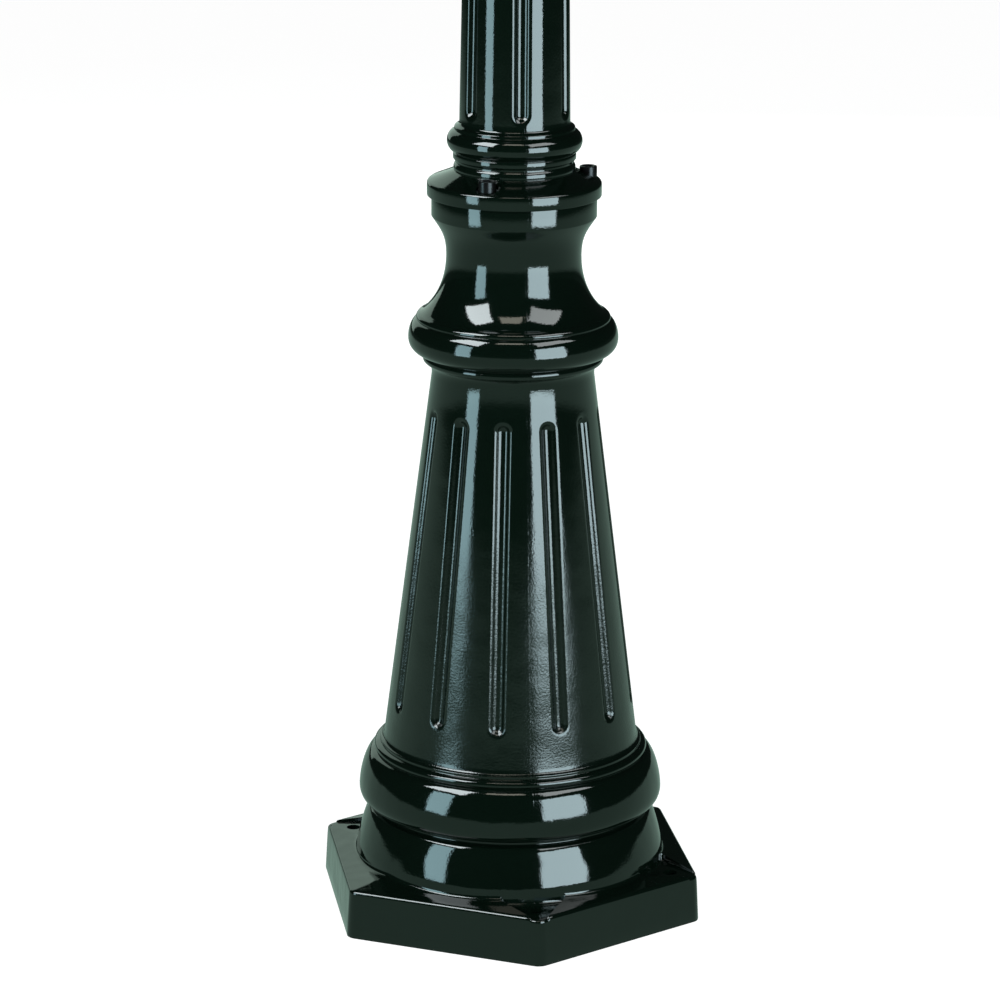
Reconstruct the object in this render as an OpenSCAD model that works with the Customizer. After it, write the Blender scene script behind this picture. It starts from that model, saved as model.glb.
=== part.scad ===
// Double-faced street clock on a cast, fluted post with a hexagonal foot.
// Millimetres, +Z up. Origin: centre of the foot plate's underside.
// The dials face -Y (front) and +Y (rear).

/* [Foot plate] */
// Radius of the hexagonal foot plate over its corners
plate_r = 190; // [180:1:200]
// Height of the plate's side faces
plate_h = 44.5; // [40:0.5:50]
// Slope of the plate's top, in degrees
plate_slope = 9; // [6:0.5:11]
// Draft of the plate's side faces, in degrees
plate_draft = 3; // [1:0.5:4]
// Thickness of the plate's rim and roof
plate_wall = 10; // [8:0.5:11]
// Distance of an anchor hole from the centre
anchor_r = 160; // [157:1:163]
// Diameter of an anchor hole
anchor_d = 13; // [11:0.5:15]

/* [Pedestal] */
// Radius of the bell foot where it leaves the plate
foot_r = 143.5; // [140:0.5:145]
// Largest radius of the lower torus
torus_r = 141; // [138:0.5:142]
// Radius of the fluted cone at its lower end
cone_r1 = 117.5; // [116:0.5:119]
// Radius of the fluted cone at its upper end
cone_r2 = 74.2; // [73:0.1:75]
// Largest radius of the upper torus
collar_torus_r = 95.6; // [93:0.1:98]
// Smallest radius of the waisted neck
waist_r = 61.4; // [60:0.1:63]
// Radius of the band at the neck's top
band_r = 75; // [74:0.1:77]
// Number of flutes round the cone
cone_flutes = 12; // [8:1:12]
// Width of a flute, on the cone and on the shaft
flute_w = 19.5; // [16:0.5:20]
// Depth of a flute
flute_depth = 5; // [3:0.5:5]

/* [Shaft] */
// Radius of the flange that is screwed to the pedestal
flange_r = 79.1; // [78:0.1:80]
// Radius of the shaft above its foot mouldings
shaft_r1 = 50; // [49:0.1:51]
// Radius of the shaft at its upper end
shaft_r2 = 34; // [33.5:0.5:37]
// Height of the shaft's shoulder, under the capital
shaft_top = 1760; // [1700:10:1800]
// Number of flutes round the shaft
shaft_flutes = 6; // [4:1:8]
// Turn of the shaft's flutes about Z, in degrees
shaft_turn = -2; // [-5:1:5]
// Wall thickness of the shaft
shaft_wall = 9; // [8:0.5:10]

/* [Clock case] */
// Height of the dial centre above the shaft's shoulder
head_rise = 430; // [430:1:440]
// Outer radius of the case drum
case_r = 245; // [240:1:250]
// Wall thickness of the case drum
case_wall = 3; // [2.5:0.5:4]
// Half the depth of the case drum
case_half = 70; // [68:1:74]
// Outer radius of a bezel
bezel_r = 254; // [252:1:256]
// Radius of the opening in a bezel
sight_r = 214; // [212:1:216]
// Radius of a dial plate
dial_r = 229; // [226:1:230]

/* [Hands] */
// Length of a minute hand from its centre
minute_len = 188; // [170:1:190]
// Length of an hour hand from its centre
hour_len = 134; // [120:1:140]
// Minutes past the hour that the hands show at rest
rest_minute = 8; // [0:1:59]
// Hour that the hands show at rest
rest_hour = 10; // [0:1:11]

/* [Hidden] */
paint = [0.05, 0.12, 0.10];
brass = [0.72, 0.57, 0.25];
steel = [0.62, 0.63, 0.65];
black = [0.04, 0.04, 0.05];
opal = [0.93, 0.92, 0.87];
eps = 1;
far = 500;

// Foot plate
plate_apothem = plate_r * cos(30);
corner_round = 12;
corner_reach = plate_r - corner_round * (1 / cos(30) - 1);
pad_z = plate_h - 1;
pad_w1 = 56;
pad_w2 = 27;
boss_r = 17;
anchor_angles = [60, 120, 240, 300];

// Pedestal heights
torus_z = 112;
cone_z1 = 164;
cone_z2 = 508;
flute_z1 = 192;
flute_z2 = 480;
collar_torus_z = 541.5;
waist_z = 617;
band_z = 653.5;
pedestal_top = 672.9;
spigot_r = 50;
spigot_z = 600;
fit_gap = 0.1;

// Flange joint
flange_top = 686.5;
flange_rise = 9;
screw_seat_z = 687.5;
screw_seat_r = 10;
flange_screw_r = 67.5;
flange_screw_turn = 90;
m10 = 5;
m8 = 4;
m6 = 3;
m4 = 2;

// Shaft
shaft_z1 = 740;
shaft_flute_z1 = 744;
shaft_flute_z2 = shaft_top - 30;
top_spigot_r = 30;
top_spigot_h = 40;
cable_r = 22;

// Head
capital_z = shaft_top;
capital_h = 102;
capital_top = capital_z + capital_h;
head_z = shaft_top + head_rise;
saddle_plate_h = 12;
saddle_half = 24;
saddle_bolt_angle = 15;
ring_u = 38;
ring_t = 6;
dial_u = ring_u + ring_t;
dial_t = 3;
face_u = dial_u + dial_t;
mark_t = 0.6;
bezel_u = case_half + 0.5;
hinge_x = -(bezel_r + 9);
knuckle_r = 8;
lug_z1 = 22;
lug_z2 = 46;
pin_r = 4;
lock_x = 241;
lock_seat_u = 90;
glass_r = 222.8;
glass_u = 78.5;
glass_t = 4;
bush_r = 11;
pipe_r = 6;
arbor_r = 4;
run_gap = 0.05;
light_bar_angles = [30, 64, 120, 240, 296, 330];
hour_u = 56;
minute_u = 63;
hand_t = 3;
minute_angle = rest_minute * 6;
hour_angle = (rest_hour + rest_minute / 60) * 30;

// ---------- helpers ----------

// Points of a cubic curve after its first point
function curve(a, b, c, d, n = 6) = [for (i = [1:n]) let (t = i / n, s = 1 - t)
    s * s * s * a + 3 * s * s * t * b + 3 * s * t * t * c + t * t * t * d];

// A rod along Z with a ball at each end, of one radius
module capsule(r, h) {
    rotate_extrude($fn = 48)
        intersection() {
            union() {
                circle(r = r, $fn = 48);
                translate([0, h]) circle(r = r, $fn = 48);
                square([r, h]);
            }
            translate([0, -r]) square([r, h + 2 * r]);
        }
}

// Round-ended flutes between two heights of a tapered column
module flutes(count, r1, z1, r2, z2, low, high) {
    cut_r = (flute_w * flute_w / 4 + flute_depth * flute_depth) / (2 * flute_depth);
    tilt = atan((r1 - r2) / (z2 - z1));
    low_z = low + flute_w / 2;
    high_z = high - flute_w / 2;
    for (k = [0:count - 1])
        rotate([0, 0, k * 360 / count])
            translate([taper(low_z, r1, z1, r2, z2) + cut_r - flute_depth, 0, low_z])
                rotate([0, -tilt, 0])
                    capsule(cut_r, (high_z - low_z) / cos(tilt));
}

// The column's radius at a height, between two given ends
function taper(z, r1, z1, r2, z2) = r1 + (r2 - r1) * (z - z1) / (z2 - z1);

// Places a child whose +Z points out of the dial; side 0 is the front, 1 the rear
module on_dial(side) {
    translate([0, 0, head_z])
        rotate([0, 0, 180 * side])
            rotate([90, 0, 0])
                children();
}

// A flat ring about Z
module ring(r1, r2, z1, h, fn = 128) {
    translate([0, 0, z1])
        difference() {
            cylinder(r = r2, h = h, $fn = fn);
            translate([0, 0, -eps]) cylinder(r = r1, h = h + 2 * eps, $fn = fn);
        }
}

// A socket-head cap screw: head above z = 0, shank below
module cap_screw(r, shank) {
    difference() {
        cylinder(r = 1.6 * r, h = 2 * r, $fn = 48);
        translate([0, 0, r]) cylinder(r = 0.95 * r, h = r + eps, $fn = 6);
    }
    translate([0, 0, -shank]) cylinder(r = r, h = shank, $fn = 32);
}

module at_anchors() {
    for (a = anchor_angles)
        rotate([0, 0, a]) translate([anchor_r, 0, 0]) children();
}

module at_flange_screws() {
    for (k = [0:2])
        rotate([0, 0, flange_screw_turn + 120 * k]) translate([flange_screw_r, 0, 0]) children();
}

// ---------- post ----------

// Hexagonal plate with a hipped top, sloping sides and level anchor pads
module plate_body() {
    difference() {
        intersection() {
            cylinder(r = plate_r, h = 2 * plate_h, $fn = 6);
            cylinder(r = corner_reach, h = 2 * plate_h, $fn = 96);
        }
        for (k = [0:5])
            rotate([0, 0, 30 + 60 * k]) translate([plate_apothem, 0, 0]) {
                rotate([0, -plate_draft, 0]) translate([0, -far / 2, 0]) cube([far, far, far]);
                translate([0, 0, plate_h]) rotate([0, plate_slope, 0])
                    translate([-far / 2, -far / 2, 0]) cube([far, far, far]);
            }
        for (a = anchor_angles)
            rotate([0, 0, a]) translate([0, 0, pad_z])
                linear_extrude(height = plate_h)
                    polygon([[foot_r - 10, -pad_w1 / 2], [plate_r + 5, -pad_w2 / 2],
                             [plate_r + 5, pad_w2 / 2], [foot_r - 10, pad_w1 / 2]]);
    }
}

// Outline of the pedestal's outside, radius against height
function pedestal_outline() = concat(
    [[0, plate_h - 6], [foot_r, plate_h - 6], [foot_r, 50]],
    curve([foot_r, 50], [142, 62], [135.5, 88], [131, 92.5]),
    [[125, 94], [125, 97]],
    curve([125, 97], [136, 99], [torus_r + 0.2, 103], [torus_r, torus_z]),
    curve([torus_r, torus_z], [torus_r - 0.4, 124], [136, 142], [129, 147]),
    [[125, 148]],
    curve([125, 148], [128, 149], [128, 154], [124, 155], 4),
    [[121.5, 155.6], [121.5, 158.5]],
    curve([121.5, 158.5], [119, 159], [cone_r1 + 0.4, 161], [cone_r1, cone_z1], 4),
    [[cone_r2, cone_z2]],
    curve([cone_r2, cone_z2], [cone_r2, 514], [76.5, 517.5], [79, 518.4], 4),
    curve([79, 518.4], [83.5, 518.6], [83.5, 525.2], [80.5, 525.6], 4),
    curve([80.5, 525.6], [92, 528.5], [collar_torus_r, 534], [collar_torus_r, collar_torus_z]),
    curve([collar_torus_r, collar_torus_z], [collar_torus_r, 549], [93, 555.5], [89.5, 558]),
    [[88.2, 558.6]],
    curve([88.2, 558.6], [89.6, 560.5], [87.5, 563.5], [84, 564.3], 4),
    curve([84, 564.3], [74, 572], [waist_r, 590], [waist_r, waist_z]),
    curve([waist_r, waist_z], [waist_r, 635], [66, 641], [band_r - 0.4, band_z]),
    [[band_r, band_z + 0.6], [band_r, pedestal_top], [0, pedestal_top]]
);

// Hollow inside of the pedestal, up to the shaft's socket
function pedestal_hollow() = [
    [0, plate_h - plate_wall - eps], [129, plate_h - plate_wall - eps], [129, 60],
    [117, 92], [117, 145], [106, cone_z1], [64, cone_z2],
    [72, 530], [72, 550], [spigot_r + fit_gap, 580], [spigot_r + fit_gap, pedestal_top + eps],
    [0, pedestal_top + eps]
];

module pedestal() {
    color(paint)
        difference() {
            union() {
                plate_body();
                rotate_extrude($fn = 128) polygon(pedestal_outline());
            }
            rotate_extrude($fn = 96) polygon(pedestal_hollow());
            difference() {
                translate([0, 0, -eps])
                    cylinder(r = plate_r - plate_wall / cos(30), h = plate_h - plate_wall + eps, $fn = 6);
                at_anchors() cylinder(r = boss_r, h = plate_h, $fn = 48);
            }
            at_anchors() translate([0, 0, -eps]) cylinder(d = anchor_d, h = 2 * plate_h, $fn = 48);
            rotate([0, 0, 180 / cone_flutes])
                flutes(cone_flutes, cone_r1, cone_z1, cone_r2, cone_z2, flute_z1, flute_z2);
            at_flange_screws() translate([0, 0, pedestal_top - 22]) cylinder(r = m10, h = 22 + eps, $fn = 32);
        }
}

// Outline of the shaft's outside: spigot, flange, foot mouldings, taper and top spigot
function shaft_outline() = concat(
    [[0, spigot_z], [spigot_r, spigot_z], [spigot_r, pedestal_top],
     [flange_r, pedestal_top], [flange_r, flange_top - 2.5], [flange_r - 2.5, flange_top],
     [54.6, flange_top + flange_rise]],
    curve([54.6, flange_top + flange_rise], [55.8, 697], [55.2, 702], [53.2, 703], 4),
    [[53.2, 705.5], [55.6, 706.5], [55.6, 711.5], [54.6, 712.5]],
    curve([54.6, 712.5], [58, 714], [61.2, 718], [61.2, 722.5]),
    curve([61.2, 722.5], [61.2, 727.5], [58.5, 731.5], [54.5, 732.8]),
    [[54.5, 735.6], [53.2, 736.6]],
    curve([53.2, 736.6], [51, 737.4], [50.2, 738.8], [shaft_r1, shaft_z1 + 4], 4),
    [[shaft_r2, shaft_top], [top_spigot_r, shaft_top], [top_spigot_r, shaft_top + top_spigot_h],
     [0, shaft_top + top_spigot_h]]
);

function shaft_bore() = [
    [0, spigot_z - eps], [spigot_r - shaft_wall, spigot_z - eps], [shaft_r1 - shaft_wall, shaft_z1],
    [shaft_r2 - shaft_wall, shaft_top - 20], [cable_r, shaft_top],
    [cable_r, shaft_top + top_spigot_h + eps], [0, shaft_top + top_spigot_h + eps]
];

module shaft() {
    color(paint)
        difference() {
            rotate_extrude($fn = 96) polygon(shaft_outline());
            rotate_extrude($fn = 64) polygon(shaft_bore());
            rotate([0, 0, shaft_turn])
                flutes(shaft_flutes, shaft_r1, shaft_z1, shaft_r2, shaft_top, shaft_flute_z1, shaft_flute_z2);
            at_flange_screws() translate([0, 0, pedestal_top - eps])
                cylinder(r = m10 + 0.5, h = flange_top + flange_rise - pedestal_top, $fn = 32);
            at_flange_screws() translate([0, 0, screw_seat_z]) cylinder(r = screw_seat_r, h = 12, $fn = 48);
            for (k = [0:2])
                translate([0, 0, shaft_top + top_spigot_h / 2]) rotate([0, 0, 120 * k]) rotate([0, 90, 0])
                    translate([0, 0, top_spigot_r - 2]) cylinder(r = m8, h = 4, $fn = 32);
        }
}

module flange_screws() {
    color(black)
        at_flange_screws() translate([0, 0, screw_seat_z]) cap_screw(m10, screw_seat_z - pedestal_top + 18);
}

// Outline of the capital: necking bead, bell and round abacus
function capital_outline() = concat(
    [[0, capital_z], [37, capital_z], [37, capital_z + 4]],
    curve([37, capital_z + 4], [43, capital_z + 4], [43, capital_z + 15], [37, capital_z + 15]),
    [[37, capital_z + 34]],
    curve([37, capital_z + 34], [38, capital_z + 62], [48, capital_z + 74], [66, capital_z + 80]),
    curve([66, capital_z + 80], [72, capital_z + 82], [72, capital_z + 90], [66, capital_z + 90], 4),
    [[66, capital_z + 93], [70, capital_z + 93], [70, capital_top], [0, capital_top]]
);

module at_capital_bolts() {
    for (x = [-34, 34])
        for (y = [-40, 40])
            translate([x, y, 0]) children();
}

module capital() {
    color(paint)
        difference() {
            rotate_extrude($fn = 96) polygon(capital_outline());
            translate([0, 0, capital_z - eps])
                cylinder(r = top_spigot_r, h = top_spigot_h + 2 * eps, $fn = 64);
            translate([0, 0, capital_z]) cylinder(r = cable_r, h = capital_h + eps, $fn = 64);
            for (k = [0:2])
                translate([0, 0, shaft_top + top_spigot_h / 2]) rotate([0, 0, 120 * k]) rotate([0, 90, 0])
                    cylinder(r = m8, h = 60, $fn = 32);
            at_capital_bolts() translate([0, 0, capital_top - 18]) cylinder(r = m8, h = 18 + eps, $fn = 32);
        }
}

// Cup-point set screws that hold the capital on the shaft's spigot
module capital_set_screws() {
    color(black)
        for (k = [0:2])
            translate([0, 0, shaft_top + top_spigot_h / 2]) rotate([0, 0, 120 * k]) rotate([0, 90, 0])
                translate([0, 0, top_spigot_r - 2]) difference() {
                    cylinder(r = m8, h = 8.5, $fn = 32);
                    translate([0, 0, 5]) cylinder(r = 2.2, h = 4, $fn = 6);
                }
}

// Side view of the cradle under the drum, right half, in X and Z
function saddle_side() = concat(
    [[0, capital_top + saddle_plate_h - eps], [34, capital_top + saddle_plate_h - eps]],
    curve([34, capital_top + saddle_plate_h], [34, head_z - 268], [88, head_z - 262], [124, head_z - 232]),
    [[118, head_z - 210], [0, head_z - 210]]
);

module at_saddle_bolts() {
    for (u = [-12, 12])
        for (a = [-saddle_bolt_angle, saddle_bolt_angle])
            translate([0, u, head_z]) rotate([0, a, 0]) translate([0, 0, -case_r + case_wall])
                children();
}

module saddle() {
    color(paint)
        difference() {
            union() {
                translate([0, 0, capital_top]) cylinder(r = 62, h = saddle_plate_h, $fn = 96);
                for (m = [0, 1])
                    mirror([m, 0, 0]) translate([0, saddle_half, 0]) rotate([90, 0, 0])
                        linear_extrude(height = 2 * saddle_half) polygon(saddle_side());
            }
            translate([0, far / 2, head_z]) rotate([90, 0, 0]) cylinder(r = case_r, h = far, $fn = 192);
            translate([0, 0, capital_top - eps]) cylinder(r = cable_r - 4, h = 120, $fn = 48);
            at_capital_bolts() translate([0, 0, capital_top - eps])
                cylinder(r = m8 + 0.5, h = saddle_plate_h + 2 * eps, $fn = 32);
            at_saddle_bolts() translate([0, 0, -22]) cylinder(r = m8, h = 30, $fn = 32);
        }
}

module capital_bolts() {
    color(black)
        at_capital_bolts() translate([0, 0, capital_top + saddle_plate_h]) cap_screw(m8, 28);
}

module saddle_bolts() {
    color(steel)
        at_saddle_bolts() translate([0, 0, 0.15]) cap_screw(m8, 20);
}

// ---------- clock case ----------

// Knuckle of a hinge with a web that reaches back to the rim
module knuckle(z1, z2, web_u1, web_u2, reach, bore) {
    difference() {
        union() {
            translate([hinge_x, z1, case_half]) rotate([-90, 0, 0])
                cylinder(r = knuckle_r, h = z2 - z1, $fn = 48);
            translate([hinge_x, z1, web_u1]) cube([reach, z2 - z1, web_u2 - web_u1]);
        }
        translate([hinge_x, z1 - eps, case_half]) rotate([-90, 0, 0])
            cylinder(r = bore, h = z2 - z1 + 2 * eps, $fn = 48);
    }
}

module case_lugs() {
    knuckle(lug_z1, lug_z2, case_half - 18, case_half - 0.5, -hinge_x - case_r + 6, pin_r);
    knuckle(-lug_z2, -lug_z1, case_half - 18, case_half - 0.5, -hinge_x - case_r + 6, pin_r);
}

// Half of the drum's section, radius against depth
function drum_section() = [
    [case_r - case_wall, -eps], [case_r, -eps], [case_r, case_half - 10],
    [case_r + 3, case_half - 9], [case_r + 3, case_half - 3], [case_r, case_half - 2],
    [case_r, case_half], [232, case_half], [232, case_half - case_wall],
    [case_r - case_wall, case_half - case_wall]
];

module case_drum() {
    color(paint)
        difference() {
            union() {
                for (side = [0, 1])
                    on_dial(side) {
                        rotate_extrude($fn = 192) polygon(drum_section());
                        difference() {
                            case_lugs();
                            cylinder(r = case_r - case_wall, h = case_half + 10, $fn = 192);
                        }
                        translate([lock_x - 3, 0, case_half - 14]) cylinder(r = 5.5, h = 14, $fn = 32);
                    }
            }
            for (side = [0, 1])
                on_dial(side)
                    translate([lock_x, 0, case_half - 12]) cylinder(r = m6, h = 13, $fn = 32);
            at_saddle_bolts() translate([0, 0, -10]) cylinder(r = m8, h = 20, $fn = 32);
            at_bridge_screws() translate([0, 0, -12]) cylinder(r = m6, h = 20, $fn = 32);
            translate([0, 0, head_z]) cylinder(r = 6, h = case_r + 10, $fn = 32);
            translate([0, 0, head_z - case_r - 10]) cylinder(r = cable_r - 4, h = 30, $fn = 48);
        }
}

// Angle ring inside the drum that a dial is screwed to
module dial_ring() {
    color(paint)
        difference() {
            ring(207, case_r - case_wall, ring_u, ring_t, 192);
            at_dial_screws() translate([0, 0, ring_u - eps]) cylinder(r = m4, h = 10, $fn = 24);
        }
}

module front_dial_ring() on_dial(0) dial_ring();
module rear_dial_ring() on_dial(1) dial_ring();

module at_dial_screws() {
    for (k = [0:5])
        rotate([0, 0, 30 + 60 * k]) translate([221, 0, 0]) children();
}

module dial() {
    color(opal)
        difference() {
            translate([0, 0, dial_u]) cylinder(r = dial_r, h = dial_t, $fn = 192);
            translate([0, 0, dial_u - eps]) cylinder(r = bush_r + 0.2, h = 10, $fn = 48);
            at_dial_screws() translate([0, 0, dial_u - eps]) cylinder(r = m4 + 0.3, h = 10, $fn = 24);
        }
}

module front_dial() on_dial(0) dial();
module rear_dial() on_dial(1) dial();

// Hour marks: long blocks at the quarters, short ones between
module hour_marks() {
    color(black)
        for (h = [0:11])
            rotate([0, 0, -30 * h])
                translate([-(h % 3 == 0 ? 8 : 5), 150, face_u])
                    cube([h % 3 == 0 ? 16 : 10, 38, mark_t]);
}

module front_hour_marks() on_dial(0) hour_marks();
module rear_hour_marks() on_dial(1) hour_marks();

module minute_track() {
    color(black) ring(196, 198, face_u, mark_t, 192);
}

module front_minute_track() on_dial(0) minute_track();
module rear_minute_track() on_dial(1) minute_track();

module dial_screws() {
    color(steel)
        for (side = [0, 1])
            on_dial(side) at_dial_screws() {
                translate([0, 0, face_u]) cylinder(r = 2 * m4, h = 2.6, $fn = 32);
                translate([0, 0, ring_u]) cylinder(r = m4, h = face_u - ring_u, $fn = 24);
            }
}

// Flat bar across the drum that carries both movements
module movement_bridge() {
    color(steel)
        translate([0, 0, head_z]) difference() {
            union() {
                translate([-237, -3, -30]) cube([474, 6, 60]);
                for (s = [-1, 1])
                    translate([s * 238 - 2, -20, -30]) cube([4, 40, 60]);
            }
            translate([0, 0, -head_z]) at_bridge_screws()
                translate([0, 0, -10]) cylinder(r = m6, h = 20, $fn = 32);
        }
}

module at_bridge_screws() {
    for (s = [0, 1])
        for (y = [-12, 12])
            translate([0, 0, head_z]) rotate([0, 0, 180 * s]) translate([236, y, 0]) rotate([0, -90, 0])
                children();
}

module bridge_screws() {
    color(steel) at_bridge_screws() cap_screw(m6, 8);
}

// Sealed dial movement: gear case and threaded bush
module movement() {
    color(black)
        difference() {
            union() {
                translate([-46, -56, 3]) cube([92, 112, 33]);
                cylinder_at(bush_r, 36, 53);
            }
            cylinder_at(pipe_r + run_gap, 30, 60);
            cylinder_at(arbor_r + run_gap, 12, 40);
        }
}

module cylinder_at(r, z1, z2) {
    translate([0, 0, z1]) cylinder(r = r, h = z2 - z1, $fn = 48);
}

module front_movement() on_dial(0) movement();
module rear_movement() on_dial(1) movement();

module movement_nuts() {
    color(brass)
        for (side = [0, 1])
            on_dial(side) ring(bush_r, 17, face_u, 5, 48);
}

// Light bars on the drum's wall, between the dials
module light_bars() {
    color(opal)
        for (a = light_bar_angles)
            translate([0, 0, head_z]) rotate([0, a, 0]) {
                translate([-60, -8, 224]) cube([120, 16, 10]);
                translate([0, 0, 233.5]) cylinder(r = 4, h = 8.4, $fn = 32);
            }
}

module power_supply() {
    color(steel) translate([80, -31, head_z - 22]) cube([110, 28, 44]);
}

module hinge_pin() {
    color(steel)
        translate([hinge_x, 0, case_half]) rotate([-90, 0, 0]) {
            translate([0, 0, -lug_z2 - 2]) cylinder(r = pin_r, h = 2 * lug_z2 + 3, $fn = 48);
            translate([0, 0, lug_z2]) cylinder(r = pin_r + 2, h = 3.5, $fn = 48);
        }
}

module front_hinge_pin() on_dial(0) hinge_pin();
module rear_hinge_pin() on_dial(1) hinge_pin();

// ---------- finial ----------

finial_z = head_z + case_r + 16;

module finial_base() {
    color(paint)
        difference() {
            translate([0, 0, head_z + case_r - 8]) rotate_extrude($fn = 96)
                polygon(concat([[0, 0], [40, 0], [40, 10]],
                               curve([40, 10], [36, 16], [30, 16], [28, 24]), [[0, 24]]));
            translate([0, far / 2, head_z]) rotate([90, 0, 0]) cylinder(r = case_r, h = far, $fn = 192);
            translate([0, 0, head_z]) cylinder(r = 6, h = far, $fn = 32);
        }
}

// Outline of the finial above its base
function finial_outline() = concat(
    [[0, 0], [24, 0]],
    curve([24, 0], [28, 1], [28, 8], [24, 9], 4),
    curve([24, 9], [12, 10], [10, 16], [11, 24]),
    curve([11, 24], [33, 30], [33, 62], [15, 74]),
    curve([15, 74], [7, 84], [5, 104], [3, 128]),
    [[0, 130]]
);

module finial() {
    color(paint) {
        translate([0, 0, finial_z]) rotate_extrude($fn = 64) polygon(finial_outline());
        translate([0, 0, head_z + case_r - 24]) cylinder(r = 6, h = 41, $fn = 32);
    }
}

module finial_nut() {
    color(steel)
        translate([0, 0, head_z + case_r - 14]) difference() {
            cylinder(r = 11, h = 10, $fn = 6);
            translate([0, 0, -eps]) cylinder(r = 6, h = 12, $fn = 32);
        }
}

// ---------- bezels ----------

// Section of a bezel: moulded front, glass seat and a channel in its back
function bezel_section() = concat(
    [[bezel_r, bezel_u], [bezel_r, 80]],
    curve([bezel_r, 80], [bezel_r, 87], [248, 91], [238, 92]),
    curve([238, 92], [228, 92], [224, 87], [sight_r, 86.5]),
    [[sight_r, 83.5], [glass_r + 0.4, 83.5], [glass_r + 0.4, 75], [228, 75], [228, bezel_u],
     [232, bezel_u], [232, 84], [250, 84], [250, bezel_u]]
);

module bezel() {
    color(paint)
        difference() {
            union() {
                rotate_extrude($fn = 192) polygon(bezel_section());
                difference() {
                    knuckle(-lug_z1 + 0.5, lug_z1 - 0.5, bezel_u + 0.5, 83, -hinge_x - bezel_r + 3,
                            pin_r + run_gap);
                    cylinder(r = bezel_r - 2, h = far, $fn = 192);
                }
                translate([lock_x, 0, bezel_u]) cylinder(r = 8, h = 16, $fn = 48);
            }
            translate([lock_x, 0, bezel_u - eps]) cylinder(r = m6 + run_gap, h = 30, $fn = 32);
            translate([lock_x, 0, lock_seat_u]) cylinder(r = 6.5, h = 10, $fn = 48);
        }
}

module front_bezel() on_dial(0) bezel();
module rear_bezel() on_dial(1) bezel();

module pane() {
    color([0.8, 0.9, 0.9, 0.35])
        translate([0, 0, glass_u]) cylinder(r = glass_r, h = glass_t, $fn = 192);
}

module front_glass() on_dial(0) pane();
module rear_glass() on_dial(1) pane();

module gasket() {
    color(black) ring(sight_r + 0.5, glass_r, glass_u + glass_t, 1, 192);
}

module front_gasket() on_dial(0) gasket();
module rear_gasket() on_dial(1) gasket();

// Clips behind the glass, on the bezel's inner shoulder
module glass_clips() {
    color(steel)
        for (k = [0:7])
            rotate([0, 0, 22.5 + 45 * k]) {
                translate([217, -7, 73]) cube([10.5, 14, 2]);
                translate([217, -7, 75]) cube([5, 14, 3.5]);
            }
}

module front_glass_clips() on_dial(0) glass_clips();
module rear_glass_clips() on_dial(1) glass_clips();

// Captive screw of the bezel, drawn backed out of the case
module lock_screw() {
    color(steel)
        translate([lock_x, 0, lock_seat_u + run_gap]) {
            difference() {
                cylinder(r = 6, h = 5, $fn = 48);
                translate([0, 0, 2.5]) cylinder(r = 2.6, h = 3, $fn = 6);
            }
            translate([0, 0, -19]) cylinder(r = m6, h = 19, $fn = 32);
        }
}

module front_lock_screw() on_dial(0) lock_screw();
module rear_lock_screw() on_dial(1) lock_screw();

// ---------- hands ----------

// Flat hand with a pointed blade, a hub and a round counterweight
module hand(length, width, tail, hub, bore, u) {
    color(black)
        difference() {
            union() {
                translate([0, 0, u]) linear_extrude(height = hand_t)
                    polygon([[-width / 3, -tail], [-width / 3, 0], [-width / 2, length * 0.62], [0, length],
                             [width / 2, length * 0.62], [width / 3, 0], [width / 3, -tail]]);
                cylinder_at(hub, u, u + hand_t);
                translate([0, -tail, 0]) cylinder_at(width * 1.1, u, u + hand_t);
            }
            cylinder_at(bore, u - eps, u + hand_t + eps);
        }
}

module hour_pipe() {
    color(brass) ring(arbor_r + run_gap, pipe_r, 30.5, 29.5, 48);
}

module minute_arbor() {
    color(steel) cylinder_at(arbor_r, 12.5, 71);
}

module cap_nut() {
    color(brass)
        difference() {
            cylinder_at(9, minute_u + hand_t, 73);
            cylinder_at(arbor_r, 60, 71);
        }
}

module hour_hand() rotate([0, 0, -hour_angle]) hand(hour_len, 17, 38, 15, pipe_r, hour_u);
module minute_hand() rotate([0, 0, -minute_angle]) hand(minute_len, 13, 54, 12, arbor_r, minute_u);

module front_hour_pipe() on_dial(0) hour_pipe();
module front_hour_hand() on_dial(0) hour_hand();
module front_minute_arbor() on_dial(0) minute_arbor();
module front_minute_hand() on_dial(0) minute_hand();
module front_cap_nut() on_dial(0) cap_nut();
module rear_hour_pipe() on_dial(1) hour_pipe();
module rear_hour_hand() on_dial(1) hour_hand();
module rear_minute_arbor() on_dial(1) minute_arbor();
module rear_minute_hand() on_dial(1) minute_hand();
module rear_cap_nut() on_dial(1) cap_nut();

pedestal();
shaft();
flange_screws();
capital();
capital_set_screws();
saddle();
capital_bolts();
saddle_bolts();
case_drum();
front_dial_ring();
rear_dial_ring();
front_dial();
rear_dial();
front_hour_marks();
rear_hour_marks();
front_minute_track();
rear_minute_track();
dial_screws();
movement_bridge();
bridge_screws();
front_movement();
rear_movement();
movement_nuts();
light_bars();
power_supply();
front_hinge_pin();
rear_hinge_pin();
finial_base();
finial();
finial_nut();
front_bezel();
front_glass();
front_gasket();
front_glass_clips();
front_lock_screw();
rear_bezel();
rear_glass();
rear_gasket();
rear_glass_clips();
rear_lock_screw();
front_hour_pipe();
front_hour_hand();
front_minute_arbor();
front_minute_hand();
front_cap_nut();
rear_hour_pipe();
rear_hour_hand();
rear_minute_arbor();
rear_minute_hand();
rear_cap_nut();
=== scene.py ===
"""Finished surfaces of a double-faced street clock on a fluted cast post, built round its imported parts."""

import math

import bmesh
import bpy
from bpy.props import FloatProperty, FloatVectorProperty, PointerProperty
from mathutils import Matrix, Vector


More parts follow.
